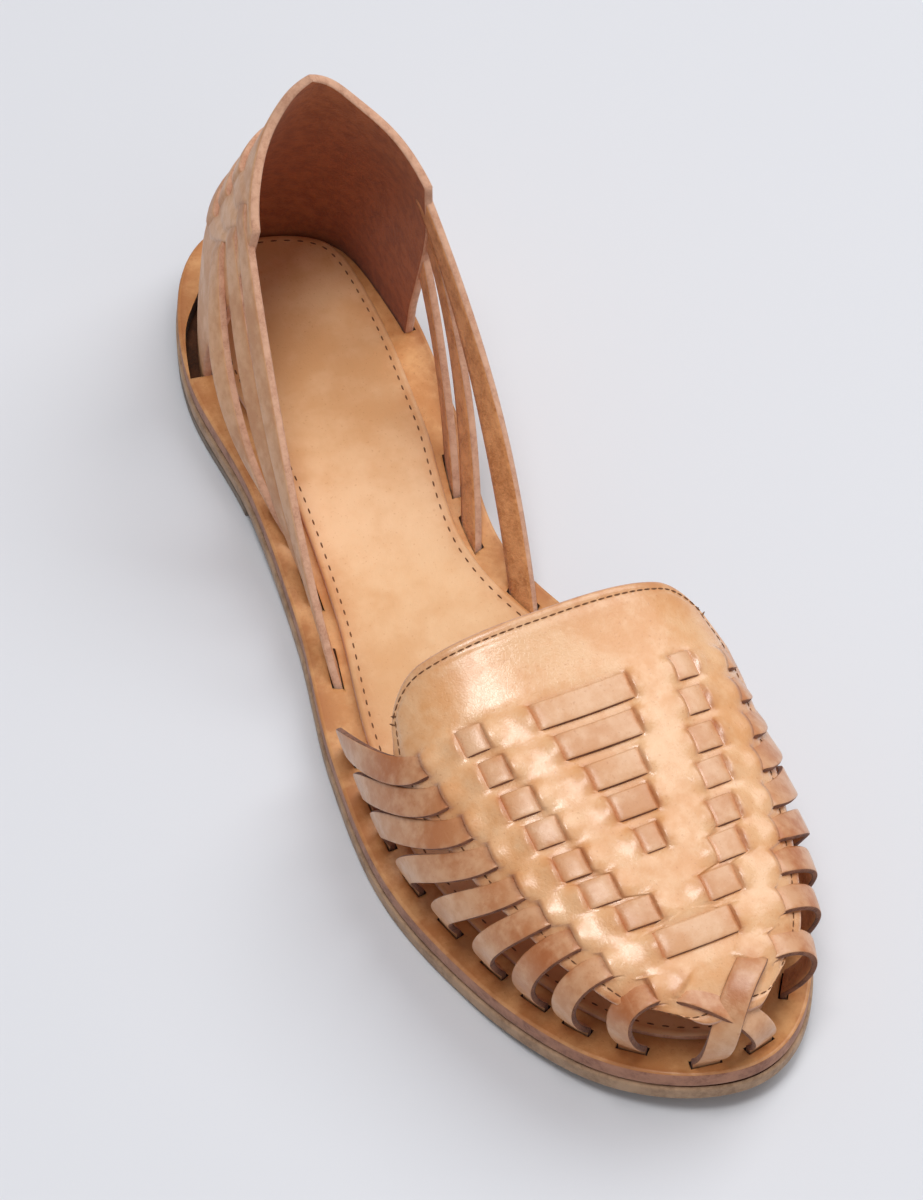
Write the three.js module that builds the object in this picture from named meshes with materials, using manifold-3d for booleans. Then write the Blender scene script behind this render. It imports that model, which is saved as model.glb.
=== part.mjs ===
// A huarache sandal, the right shoe of a pair.
// A flat leather sole carries a woven vamp over the toes and a tall heel counter with three back straps.
// Millimetres, +Z up. While it is built, X runs from the heel end to the toe and Y to the wearer's left.
import * as THREE from 'three';
import { mergeVertices } from 'three/addons/utils/BufferGeometryUtils.js';
import Module from 'manifold-3d';

const wasm = await Module();
wasm.setup();

// Plan of the sole
const LENGTH = 250;
const BALL_WIDTH = 81.2;
const WAIST_WIDTH = 50;
const HEEL_WIDTH = 54.5;

// Layers of the sole, from the floor up
const LIFT_THICKNESS = 2.6;
const LIFT_LENGTH = 72;
const OUTSOLE_THICKNESS = 3.6;
const BOARD_THICKNESS = 4.5;
const INSOLE_THICKNESS = 2.2;
const TOE_SPRING = 5;
const BOND_GAP = 0.3;
const BOARD_INSET = 0.5;

// Rim of the board: where the slots and the insole lie, measured in from the edge of the sole
const SLOT_INSET = 5.6;
const INSOLE_INSET = 8.6;
const SLOT_CLEARANCE = 0.3;

// Vamp
const INSTEP_HEIGHT = 57;
const VAMP_THICKNESS = 1.7;
const VAMP_SHIFT = 2.4;
const THROAT_AT = 0.6408 * LENGTH;
const TOE_EDGE_AT = 0.986 * LENGTH;
const STRAP_WIDTH = 5.8;
const STRAP_THICKNESS = 1.7;
const STRAP_LIFT = 1.1;
const PUFF = 0.8;
const ROW_SAG = 3.6;
const THROAT_SAG = 1.2;
const ROW_SKEW = 0.02;

// Heel counter and back straps
const COUNTER_HEIGHT = 88;
const COUNTER_THICKNESS = 2.2;
const COUNTER_INSET = 5.4;
const MEDIAL_CORNER_INSET = 2.4;
const LATERAL_CORNER_INSET = 3.6;
const GROOVE_SLACK = 2.4;
const BACK_STRAP_WIDTH = 6;
const BACK_STRAP_THICKNESS = 1.8;
const BACK_STRAP_LIFT = 1;
const BACK_STRAP_BOW = 3.5;

// Edge of the sole: one row for each station, its share of the length, and how far the medial and the
// lateral edge stand from the line between heel and toe, as shares of the width that the row follows.
const OUTLINE = [
  { at: 0.06, width: HEEL_WIDTH, medial: 0.492, lateral: 0.330 },
  { at: 0.16, width: HEEL_WIDTH, medial: 0.528, lateral: 0.472 },
  { at: 0.30, width: WAIST_WIDTH, medial: 0.496, lateral: 0.522 },
  { at: 0.44, width: WAIST_WIDTH, medial: 0.392, lateral: 0.608 },
  { at: 0.58, width: BALL_WIDTH, medial: 0.368, lateral: 0.469 },
  { at: 0.70, width: BALL_WIDTH, medial: 0.498, lateral: 0.502 },
  { at: 0.82, width: BALL_WIDTH, medial: 0.477, lateral: 0.431 },
  { at: 0.92, width: BALL_WIDTH, medial: 0.371, lateral: 0.297 },
];
const HEEL_TIP_SHIFT = 0.022;
const TOE_TIP_SHIFT = 0.079;

// The last under the vamp: share of the length, height of the crown and depth of the side wall as shares
// of the instep height, and half width as a share of the ball width.
const SECTIONS = [
  { at: 0.600, crown: 1.060, depth: 0.42, half: 0.434 },
  { at: 0.628, crown: 1.000, depth: 0.42, half: 0.446 },
  { at: 0.700, crown: 0.872, depth: 0.386, half: 0.480 },
  { at: 0.748, crown: 0.821, depth: 0.351, half: 0.468 },
  { at: 0.800, crown: 0.765, depth: 0.316, half: 0.443 },
  { at: 0.844, crown: 0.719, depth: 0.289, half: 0.419 },
  { at: 0.888, crown: 0.674, depth: 0.263, half: 0.382 },
  { at: 0.920, crown: 0.640, depth: 0.219, half: 0.345 },
  { at: 0.952, crown: 0.591, depth: 0.175, half: 0.296 },
  { at: 0.990, crown: 0.515, depth: 0.123, half: 0.185 },
];
const SECTION_POWER = 2.6;

// The weave: one row for each cross strap. Its middle is a share of the length. The ends of the bar, of the
// two squares and of the side strap, and the edge of the vamp, are shares of the ball width from the middle.
// Its two ends go into the board at foot, a share of the length.
const ROWS = [
  { at: 0.718, bar: 0.129, squareIn: 0.251, squareOut: 0.314, side: 0.403, edge: 0.468, foot: 0.583 },
  { at: 0.748, bar: 0.105, squareIn: 0.234, squareOut: 0.298, side: 0.393, edge: 0.452, foot: 0.630 },
  { at: 0.779, bar: 0.071, squareIn: 0.208, squareOut: 0.284, side: 0.376, edge: 0.436, foot: 0.670 },
  { at: 0.808, bar: 0.054, squareIn: 0.185, squareOut: 0.262, side: 0.353, edge: 0.418, foot: 0.720 },
  { at: 0.839, bar: 0.030, squareIn: 0.165, squareOut: 0.238, side: 0.331, edge: 0.393, foot: 0.770 },
  { at: 0.866, bar: 0.022, squareIn: 0.128, squareOut: 0.209, side: 0.305, edge: 0.364, foot: 0.822 },
  { at: 0.892, bar: 0.018, squareIn: 0.063, squareOut: 0.154, side: 0.266, edge: 0.337, foot: 0.865 },
  { at: 0.921, bar: 0.101, squareIn: 0.130, squareOut: 0.165, side: 0.229, edge: 0.296, foot: 0.902 },
  { at: 0.951, bar: 0.060, squareIn: 0.090, squareOut: 0.120, side: 0.158, edge: 0.240, foot: 0.940 },
];
const THROAT_COLUMNS = { bar: 0.160, squareIn: 0.275, squareOut: 0.340, side: 0.404, edge: 0.434 };
const TOE_COLUMNS = { bar: 0.035, squareIn: 0.055, squareOut: 0.075, side: 0.095, edge: 0.118 };
const LAST_BAR_ROW = 5;
const LAST_SQUARE_ROW = 7;
const LONG_BAR_ROW = 8;

// The two ends of the tenth strap cross at the toe. Each leaves a slit in the vamp and goes to a slot:
// shares of the length along the shoe and of the ball width to the medial side.
const TOE_STRAPS = [
  { slitAt: 0.957, slitSide: -0.060, footAt: 0.981, footSide: 0.118, lift: 0 },
  { slitAt: 0.956, slitSide: 0.118, footAt: 0.978, footSide: -0.022, lift: 1 },
];

// Heel counter: one row for each level. Its height and the place of its back are shares of the counter's
// height. Its middle, its half width and how deep its lateral and medial sides curve round at the back are
// shares of the heel width.
const COUNTER = [
  { level: 0.00, back: 0.000, middle: 0.020, half: 0.410, lateralBend: 0.46, medialBend: 0.46 },
  { level: 0.14, back: 0.004, middle: 0.020, half: 0.412, lateralBend: 0.58, medialBend: 0.46 },
  { level: 0.35, back: 0.060, middle: 0.045, half: 0.408, lateralBend: 0.84, medialBend: 0.47 },
  { level: 0.55, back: 0.152, middle: 0.080, half: 0.395, lateralBend: 0.78, medialBend: 0.53 },
  { level: 0.75, back: 0.242, middle: 0.110, half: 0.362, lateralBend: 0.70, medialBend: 0.66 },
  { level: 1.00, back: 0.335, middle: 0.150, half: 0.400, lateralBend: 1.10, medialBend: 1.10 },
];
// Its two front edges at each level, as shares of the length
const COUNTER_FRONT = [
  { level: 0.00, lateral: 0.158, medial: 0.186 },
  { level: 0.14, lateral: 0.166, medial: 0.196 },
  { level: 0.35, lateral: 0.192, medial: 0.216 },
  { level: 0.55, lateral: 0.210, medial: 0.226 },
  { level: 0.75, lateral: 0.214, medial: 0.230 },
  { level: 1.00, lateral: 0.222, medial: 0.236 },
];
// Top edge of the counter: the way round from the back to the front edge, and the height left there.
const COLLAR = [
  { round: 0.00, height: 1.000 },
  { round: 0.25, height: 0.958 },
  { round: 0.50, height: 0.890 },
  { round: 0.78, height: 0.825 },
  { round: 1.00, height: 0.745 },
];
// Back straps: height of the slit as a share of the counter's and its way round, the level of the strip at
// the back, the board's slots as shares of the length, and the share of the full bow on each side.
const BACK_STRAPS = [
  { slit: 0.730, round: 0.80, backLevel: 0.690, foot: 0.494, lateralBow: 0.75, medialBow: 1.00 },
  { slit: 0.635, round: 0.80, backLevel: 0.575, foot: 0.412, lateralBow: 0.95, medialBow: 1.00 },
  { slit: 0.530, round: 0.74, backLevel: 0.460, foot: 0.352, lateralBow: 1.85, medialBow: 0.45 },
];
const BACK_STRIP_ROUND = 0.56;

// Value of a named column at a place, through the rows of a table by smooth steps without overshoot.
function along(rows, key, column, place) {
  const last = rows.length - 1;
  if (place <= rows[0][key]) return rows[0][column];
  if (place >= rows[last][key]) return rows[last][column];
  let i = 0;
  while (rows[i + 1][key] < place) i += 1;
  const slope = (a, b) => (rows[b][column] - rows[a][column]) / (rows[b][key] - rows[a][key]);
  const tangent = (k) => {
    if (k === 0) return slope(0, 1);
    if (k === last) return slope(last - 1, last);
    const before = slope(k - 1, k);
    const after = slope(k, k + 1);
    return before * after > 0 ? (before + after) / 2 : 0;
  };
  const span = rows[i + 1][key] - rows[i][key];
  const t = (place - rows[i][key]) / span;
  const a = rows[i][column];
  const b = rows[i + 1][column];
  const bend = t * t * (3 - 2 * t);
  const enter = t * (1 - t) * (1 - t) * span * tangent(i);
  const leave = t * t * (1 - t) * span * tangent(i + 1);
  return a + (b - a) * bend + enter - leave;
}

const smooth = (from, to, value) => THREE.MathUtils.smoothstep(value, from, to);
const mix = THREE.MathUtils.lerp;
const vector = (x, y, z) => new THREE.Vector3(x, y, z);

// Edge of the sole as a closed curve. The angle runs from the heel end along the medial edge to the toe
// tip at half a turn, and back along the lateral edge.
const angleOf = (share) => Math.acos(1 - 2 * share);
const edgeKnots = [
  { angle: 0, y: HEEL_TIP_SHIFT * HEEL_WIDTH },
  ...OUTLINE.map((row) => ({ angle: angleOf(row.at), y: row.medial * row.width })),
  { angle: Math.PI, y: TOE_TIP_SHIFT * BALL_WIDTH },
  ...OUTLINE.map((row) => ({ angle: 2 * Math.PI - angleOf(row.at), y: -row.lateral * row.width })).reverse(),
];

function edgePoint(angle) {
  const turn = 2 * Math.PI;
  const a = THREE.MathUtils.euclideanModulo(angle, turn);
  const count = edgeKnots.length;
  const knot = (k) => {
    const wrapped = THREE.MathUtils.euclideanModulo(k, count);
    return { angle: edgeKnots[wrapped].angle + turn * Math.floor(k / count), y: edgeKnots[wrapped].y };
  };
  let i = 0;
  while (knot(i + 1).angle <= a) i += 1;
  const [k0, k1, k2, k3] = [knot(i - 1), knot(i), knot(i + 1), knot(i + 2)];
  const slope = (p, q) => (q.y - p.y) / (q.angle - p.angle);
  const bend = (p, q, r) => (slope(p, q) * (r.angle - q.angle) + slope(q, r) * (q.angle - p.angle))
    / (r.angle - p.angle);
  const span = k2.angle - k1.angle;
  const t = (a - k1.angle) / span;
  const m1 = bend(k0, k1, k2) * span;
  const m2 = bend(k1, k2, k3) * span;
  const y = k1.y * (2 * t ** 3 - 3 * t ** 2 + 1) + m1 * (t ** 3 - 2 * t ** 2 + t)
    + k2.y * (3 * t ** 2 - 2 * t ** 3) + m2 * (t ** 3 - t ** 2);
  return new THREE.Vector2(LENGTH * (1 - Math.cos(a)) / 2, y);
}

function edgeTangent(angle) {
  const step = 0.02;
  return edgePoint(angle + step).sub(edgePoint(angle - step)).normalize();
}

// The way in from the edge is to the right of the way round.
function insetPoint(angle, inset) {
  const tangent = edgeTangent(angle);
  return edgePoint(angle).add(new THREE.Vector2(tangent.y, -tangent.x).multiplyScalar(inset));
}

// Angle at which the edge, moved in, lies at a place along the shoe. Side is 1 medial and -1 lateral.
function angleAt(x, side, inset) {
  let low = 0;
  let high = Math.PI;
  for (let i = 0; i < 40; i += 1) {
    const middle = (low + high) / 2;
    if (insetPoint(side * middle, inset).x < x) low = middle;
    else high = middle;
  }
  return (side * (low + high)) / 2;
}

// Heights of the layers along the shoe: flat heel, slope through the waist, flat ball and toe spring.
const BREAST_AT = LIFT_LENGTH;
const LAND_AT = 0.44 * LENGTH;
const SPRING_AT = 0.72 * LENGTH;
const liftTop = LIFT_THICKNESS;

function outsoleBottom(x) {
  const heel = (liftTop + BOND_GAP) * (1 - smooth(BREAST_AT, LAND_AT, x));
  const spring = Math.max(0, (x - SPRING_AT) / (LENGTH - SPRING_AT));
  return heel + TOE_SPRING * spring ** 2;
}
const outsoleTop = (x) => outsoleBottom(x) + OUTSOLE_THICKNESS;
const boardBottom = (x) => outsoleTop(x) + BOND_GAP;
const boardTop = (x) => boardBottom(x) + BOARD_THICKNESS;
const insoleBottom = (x) => boardTop(x) + BOND_GAP;
const insoleTop = (x) => insoleBottom(x) + INSOLE_THICKNESS;

// Mesh helpers
const MERGE_REACH = 1e-4;

function closedMesh(points, faces) {
  const geometry = new THREE.BufferGeometry();
  const values = points.flatMap((point) => point.toArray());
  geometry.setAttribute('position', new THREE.Float32BufferAttribute(values, 3));
  geometry.setIndex(faces.flat());
  return mergeVertices(geometry, MERGE_REACH);
}

function toSolid(geometry) {
  const mesh = new wasm.Mesh({
    numProp: 3,
    vertProperties: new Float32Array(geometry.attributes.position.array),
    triVerts: new Uint32Array(geometry.index.array),
  });
  return new wasm.Manifold(mesh);
}

function toGeometry(solid) {
  const mesh = solid.getMesh();
  const geometry = new THREE.BufferGeometry();
  geometry.setAttribute('position', new THREE.Float32BufferAttribute(mesh.vertProperties, 3));
  geometry.setIndex(Array.from(mesh.triVerts));
  return geometry;
}

const joined = (solids) => solids.reduce((sum, solid) => sum.add(solid));
const cutBy = (solid, cutters) => cutters.reduce((rest, cutter) => rest.subtract(cutter), solid);

// A layer of the sole: the outline moved in, between two heights that change along the shoe. It may stop
// short of the toe at a straight breast.
function layer({ inset, bottom, top, end = Math.PI, steps = 36 }) {
  const whole = end === Math.PI;
  const rim = [];
  for (let i = steps; i >= 1; i -= 1) rim.push(insetPoint(-(end * i) / steps, inset));
  for (let i = 0; i <= (whole ? steps - 1 : steps); i += 1) rim.push(insetPoint((end * i) / steps, inset));
  const count = rim.length;
  const points = [];
  rim.forEach((p) => points.push(vector(p.x, p.y, top(p.x))));
  rim.forEach((p) => points.push(vector(p.x, p.y, bottom(p.x))));
  const faces = [];
  const cap = (a, b, c) => {
    faces.push([a, c, b]);
    faces.push([count + a, count + b, count + c]);
  };
  // Rungs join the lateral rim point to the medial one, from the heel end to the toe.
  for (let i = 0; i < steps; i += 1) {
    const lateral = steps - i;
    const medial = steps + i;
    const nextMedial = (medial + 1) % count;
    if (i === 0) cap(lateral, nextMedial, lateral - 1);
    else if (whole && i === steps - 1) cap(lateral, medial, 0);
    else {
      cap(lateral, medial, nextMedial);
      cap(lateral, nextMedial, lateral - 1);
    }
  }
  for (let i = 0; i < count; i += 1) {
    const next = (i + 1) % count;
    faces.push([i, next, count + next]);
    faces.push([i, count + next, count + i]);
  }
  return toSolid(closedMesh(points, faces));
}

// A wall between an outer and an inner grid of points, closed round its four edges.
function wall(outer, inner) {
  const rows = outer.length;
  const columns = outer[0].length;
  const points = [...outer.flat(), ...inner.flat()];
  const faces = [];
  const front = (r, c) => r * columns + c;
  const back = (r, c) => rows * columns + r * columns + c;
  const quad = (a, b, c, d) => faces.push([a, b, c], [a, c, d]);
  for (let r = 0; r < rows - 1; r += 1) {
    for (let c = 0; c < columns - 1; c += 1) {
      quad(front(r, c), front(r + 1, c), front(r + 1, c + 1), front(r, c + 1));
      quad(back(r, c), back(r, c + 1), back(r + 1, c + 1), back(r + 1, c));
    }
    quad(front(r, 0), back(r, 0), back(r + 1, 0), front(r + 1, 0));
    const end = columns - 1;
    quad(front(r, end), front(r + 1, end), back(r + 1, end), back(r, end));
  }
  for (let c = 0; c < columns - 1; c += 1) {
    quad(front(0, c), front(0, c + 1), back(0, c + 1), back(0, c));
    const end = rows - 1;
    quad(front(end, c), back(end, c), back(end, c + 1), front(end, c + 1));
  }
  return toSolid(closedMesh(points, faces));
}

// A flat strap along stations, each with its middle point and the direction across it.
function strap(stations, width, thickness) {
  const upper = [];
  const lower = [];
  stations.forEach((station, i) => {
    const before = stations[Math.max(0, i - 1)].point;
    const after = stations[Math.min(stations.length - 1, i + 1)].point;
    const way = after.clone().sub(before).normalize();
    const across = station.across.clone().addScaledVector(way, -station.across.dot(way)).normalize();
    const out = way.clone().cross(across);
    const at = (side, face) => station.point.clone()
      .addScaledVector(across, (side * width) / 2)
      .addScaledVector(out, (face * thickness) / 2);
    upper.push([at(-1, 1), at(1, 1)]);
    lower.push([at(-1, -1), at(1, -1)]);
  });
  return wall(upper, lower);
}

// Height left over the board for a strap's end, and how deep it goes in.
const TAB_DEPTH = BOARD_THICKNESS - SLOT_CLEARANCE;
const SLOT_OVERRUN = 1.5;

// A slot is the strap's own straight end, made wider and thicker by the clearance, and run out of both
// faces.
function slotCutter(foot, way, across, width, thickness) {
  const rise = Math.abs(way.z);
  const overrun = SLOT_OVERRUN + (width / 2) * Math.abs(across.z);
  const above = foot.clone().addScaledVector(way, -overrun / rise);
  const below = foot.clone().addScaledVector(way, (BOARD_THICKNESS + overrun) / rise);
  const stations = [above, below].map((point) => ({ point, across }));
  return strap(stations, width + 2 * SLOT_CLEARANCE, thickness + 2 * SLOT_CLEARANCE);
}

// Surface of the vamp, which ends just short of the upright side of its section
const WALL_REACH = 0.999;

function vampSurface(x, offset) {
  const share = x / LENGTH;
  const crown = along(SECTIONS, 'at', 'crown', share) * INSTEP_HEIGHT;
  const depth = along(SECTIONS, 'at', 'depth', share) * INSTEP_HEIGHT;
  const half = along(SECTIONS, 'at', 'half', share) * BALL_WIDTH;
  const reach = Math.min(WALL_REACH, Math.abs(offset) / half);
  const drop = depth * (1 - Math.sqrt(1 - reach ** SECTION_POWER));
  return vector(x, VAMP_SHIFT + offset, crown - drop);
}

function vampPoint(x, offset, lift) {
  const step = 0.4;
  const alongShoe = vampSurface(x + step, offset).sub(vampSurface(x - step, offset));
  const acrossShoe = vampSurface(x, offset + step).sub(vampSurface(x, offset - step));
  const out = alongShoe.cross(acrossShoe).normalize();
  return vampSurface(x, offset).addScaledVector(out, lift);
}

// A cross line of the weave bends back towards the sides.
const SAG_REACH = 0.4 * BALL_WIDTH;
function rowPlace(middle, offset, sag = ROW_SAG) {
  return middle + ROW_SKEW * offset - sag * (offset / SAG_REACH) ** 2;
}

const columnKnots = [
  { at: THROAT_AT / LENGTH, ...THROAT_COLUMNS },
  ...ROWS,
  { at: TOE_EDGE_AT / LENGTH, ...TOE_COLUMNS },
];
function columnsAt(middle) {
  const share = middle / LENGTH;
  const get = (name) => along(columnKnots, 'at', name, share) * BALL_WIDTH;
  const [bar, squareIn, squareOut, side, edge] = ['bar', 'squareIn', 'squareOut', 'side', 'edge'].map(get);
  const half = (a, b) => (a + b) / 2;
  return [
    0, bar, half(bar, squareIn), squareIn, squareOut, half(squareOut, side), side, half(side, edge), edge,
  ];
}

// Columns of the sheet, out from its middle: 0 middle, 1 end of the bar, 3 and 4 ends of the square, 6 end
// of the side strap, 8 edge, and the others halfway between. The sheet stands up over a cross strap.
function puffAt(row, column) {
  if (row === null || column > 5) return 0;
  const bar = row <= LAST_BAR_ROW || row === LONG_BAR_ROW;
  const square = row <= LAST_SQUARE_ROW;
  if (column <= 1) return bar ? 0 : PUFF;
  if (column === 3 || column === 4) return square ? 0 : PUFF;
  return PUFF;
}

// Lines of the sheet behind the first cross strap, as shares of the way to it from the throat
const THROAT_LINES = [0, 0.33, 0.66];

function vampSheet() {
  const lines = THROAT_LINES.map((t) => ({
    middle: mix(THROAT_AT, ROWS[0].at * LENGTH, t), row: null, sag: mix(THROAT_SAG, ROW_SAG, t),
  }));
  ROWS.forEach((row, i) => {
    const middle = row.at * LENGTH;
    lines.push({ middle: middle - STRAP_WIDTH / 2, row: i + 1 });
    lines.push({ middle: middle + STRAP_WIDTH / 2, row: i + 1 });
  });
  lines.push({ middle: TOE_EDGE_AT, row: null });
  const grid = (lift) => lines.map(({ middle, row, sag }) => {
    const columns = columnsAt(middle);
    const last = columns.length - 1;
    const points = [];
    for (let c = -last; c <= last; c += 1) {
      const offset = Math.sign(c) * columns[Math.abs(c)];
      points.push(vampPoint(rowPlace(middle, offset, sag), offset, lift(row, Math.abs(c))));
    }
    return points;
  });
  return wall(grid((row, column) => puffAt(row, column)), grid(() => -VAMP_THICKNESS));
}

// A stretch of a cross strap that lies on the sheet, from one offset to another.
function raisedStrip(row, from, to, steps) {
  const middle = row.at * LENGTH;
  const grid = (lift) => [-1, 1].map((side) => {
    const points = [];
    for (let i = 0; i <= steps; i += 1) {
      const offset = mix(from, to, i / steps);
      points.push(vampPoint(rowPlace(middle + (side * STRAP_WIDTH) / 2, offset), offset, lift));
    }
    return points;
  });
  return wall(grid(STRAP_LIFT), grid(STRAP_LIFT - STRAP_THICKNESS));
}

const bezier = (points, t) => new THREE.CubicBezierCurve3(...points).getPoint(t);

// A strap from a slit over the edge of the vamp and down, bulging out, into a slot of the board. It stands
// upright over the slot, and its bulge is widest halfway down.
const FOOT_RISE = 2;
const BULGE_SHARE = 0.5;

function legStrap({ start, out, across, foot, footAcross, outward, bulge, reach, steps }) {
  const top = foot.clone().add(vector(0, 0, FOOT_RISE));
  const drop = start.z - foot.z;
  const controls = [
    start,
    start.clone().addScaledVector(out, reach),
    top.clone().addScaledVector(outward, bulge).add(vector(0, 0, BULGE_SHARE * drop)),
    top,
  ];
  const stations = [];
  for (let i = 0; i <= steps; i += 1) {
    const t = i / steps;
    stations.push({ point: bezier(controls, t), across: across.clone().lerp(footAcross, t) });
  }
  stations.push({ point: foot.clone().add(vector(0, 0, -TAB_DEPTH)), across: footAcross });
  const solid = strap(stations, STRAP_WIDTH, STRAP_THICKNESS);
  const cutter = slotCutter(foot, vector(0, 0, -1), footAcross, STRAP_WIDTH, STRAP_THICKNESS);
  return { solid, cutter };
}

// Where a strap goes into the rim of the board: the point on its top face and the frame of the edge there.
function rimFoot(angle) {
  const plan = insetPoint(angle, SLOT_INSET);
  const tangent = edgeTangent(angle);
  return {
    foot: vector(plan.x, plan.y, boardTop(plan.x)),
    footAcross: vector(tangent.x, tangent.y, 0),
    outward: vector(-tangent.y, tangent.x, 0),
  };
}

const SIDE_BULGE = 5;
const SIDE_REACH = 11;
const SIDE_STEPS = 9;

function sideStrap(row, side) {
  const middle = row.at * LENGTH;
  const offset = side * row.side * BALL_WIDTH;
  const centre = STRAP_LIFT - STRAP_THICKNESS / 2;
  const start = vampPoint(rowPlace(middle, offset), offset, centre);
  const next = offset + side;
  const out = vampPoint(rowPlace(middle, next), next, centre).sub(start).normalize();
  const across = vector(1, 0, 0);
  const rim = rimFoot(angleAt(row.foot * LENGTH, side, SLOT_INSET));
  if (rim.footAcross.x < 0) rim.footAcross.negate();
  return legStrap({ start, out, across, ...rim, bulge: SIDE_BULGE, reach: SIDE_REACH, steps: SIDE_STEPS });
}

// A toe strap leaves its slit slantwise towards the toe and a little down, and it is turned at its slot.
const TOE_BULGE = 5;
const TOE_REACH = 12;
const TOE_SLANT = 0.75;
const TOE_DIP = 0.2;
const TOE_TURN = 0.2;
const TOE_STEPS = 10;

function toeStrap(row) {
  const offset = row.slitSide * BALL_WIDTH - VAMP_SHIFT;
  const centre = STRAP_LIFT - STRAP_THICKNESS / 2 + row.lift * STRAP_THICKNESS;
  const start = vampPoint(row.slitAt * LENGTH, offset, centre);
  const side = Math.sign(row.footSide - row.slitSide);
  const x = row.footAt * LENGTH;
  const foot = vector(x, row.footSide * BALL_WIDTH, boardTop(x));
  const out = vector(TOE_SLANT, side, -TOE_DIP).normalize();
  const footAcross = vector(TOE_TURN, -side, 0).normalize();
  const across = vector(1, -side * TOE_SLANT, 0).normalize();
  const toeward = vector(1, 0, 0);
  const bulge = TOE_BULGE + row.lift * STRAP_THICKNESS;
  return legStrap({
    start, out, across, foot, footAcross, outward: toeward, bulge, reach: TOE_REACH, steps: TOE_STEPS,
  });
}

function makeVamp() {
  const solids = [vampSheet()];
  const cutters = [];
  ROWS.forEach((row, i) => {
    const number = i + 1;
    const bar = row.bar * BALL_WIDTH;
    if (number <= LAST_BAR_ROW || number === LONG_BAR_ROW) solids.push(raisedStrip(row, -bar, bar, 3));
    [-1, 1].forEach((side) => {
      if (number <= LAST_SQUARE_ROW) {
        const [near, far] = [row.squareIn, row.squareOut].map((end) => side * end * BALL_WIDTH);
        solids.push(raisedStrip(row, Math.min(near, far), Math.max(near, far), 1));
      }
      const leg = sideStrap(row, side);
      solids.push(leg.solid);
      cutters.push(leg.cutter);
    });
  });
  TOE_STRAPS.map(toeStrap).forEach((leg) => {
    solids.push(leg.solid);
    cutters.push(leg.cutter);
  });
  return { solid: joined(solids), cutters };
}

// Heel counter: a wall round the heel. Round runs from -1 at the lateral front edge over 0 at the back to 1
// at the medial front edge, and level from 0 at its foot to 1 at the top of its peak.
const COUNTER_FOOT = boardTop(0) - TAB_DEPTH;
const counterBack = COUNTER_INSET + COUNTER_THICKNESS / 2;

const sideName = (side) => (side < 0 ? 'lateral' : 'medial');
const counterFront = (side, level) => along(COUNTER_FRONT, 'level', sideName(side), level) * LENGTH;

function counterOval(round, level) {
  const get = (name) => along(COUNTER, 'level', name, level);
  const side = round < 0 ? -1 : 1;
  const halfWidth = get('half') * HEEL_WIDTH;
  const depth = get(side < 0 ? 'lateralBend' : 'medialBend') * HEEL_WIDTH;
  const back = counterBack + get('back') * COUNTER_HEIGHT;
  const front = counterFront(side, level);
  // A stretch of an oval from the back, at most a quarter of it, then straight to the front edge
  const lastTurn = Math.acos(Math.max(0, 1 - (front - back) / depth));
  const arc = ((halfWidth + depth) / 2) * lastTurn;
  const straight = Math.max(0, front - back - depth);
  const way = Math.abs(round) * (arc + straight);
  const turn = (Math.min(way, arc) / arc) * lastTurn;
  const x = back + depth * (1 - Math.cos(turn)) + Math.max(0, way - arc);
  const y = get('middle') * HEEL_WIDTH + side * halfWidth * Math.sin(turn);
  return vector(x, y, mix(COUNTER_FOOT, COUNTER_HEIGHT, level));
}

// At its foot the counter follows the edge of the sole, and it leaves that line on the way up.
// Towards its two front corners it stands nearer to the edge, on the lateral side only close to the corner.
const FOOT_LEVEL = 0.09;
const FREE_LEVEL = 0.38;
const medialCorner = MEDIAL_CORNER_INSET + COUNTER_THICKNESS / 2;
const lateralCorner = LATERAL_CORNER_INSET + COUNTER_THICKNESS / 2;

function counterSurface(round, level) {
  const side = round < 0 ? -1 : 1;
  const corner = side < 0 ? lateralCorner : medialCorner;
  const nearness = Math.min(1, side < 0 ? round ** 4 : round ** 2);
  const angle = round * Math.abs(angleAt(counterFront(side, 0), side, corner));
  const footPlan = insetPoint(angle, mix(counterBack, corner, nearness));
  const oval = counterOval(round, 0);
  const hold = 1 - smooth(FOOT_LEVEL, FREE_LEVEL, level);
  const shift = vector(footPlan.x - oval.x, footPlan.y - oval.y, 0);
  return counterOval(round, level).addScaledVector(shift, hold);
}

function counterPoint(round, level, lift) {
  const step = 0.01;
  const roundWay = counterSurface(round + step, level).sub(counterSurface(round - step, level));
  const upWay = counterSurface(round, level + step).sub(counterSurface(round, level - step));
  return counterSurface(round, level).addScaledVector(upWay.cross(roundWay).normalize(), lift);
}

const COUNTER_ROWS = 9;
const COUNTER_COLUMNS = 26;
const collarLevel = (round) => along(COLLAR, 'round', 'height', Math.abs(round));

// The wall between two lifts off its middle surface, each a function of round
function counterWall({ outer, inner, topLevel, rows, columns = COUNTER_COLUMNS, footDrop = 0 }) {
  const grid = (lift) => {
    const lines = [];
    for (let r = 0; r <= rows; r += 1) {
      const line = [];
      for (let c = 0; c <= columns; c += 1) {
        const round = -1 + (2 * c) / columns;
        line.push(counterPoint(round, (topLevel(round) * r) / rows, lift(round)));
      }
      if (r === 0) line.forEach((point) => point.setZ(point.z - footDrop));
      lines.push(line);
    }
    return lines;
  };
  return wall(grid(outer), grid(inner));
}

// The strips that show round the back of the counter
const STRIP_STEPS = 12;

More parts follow.
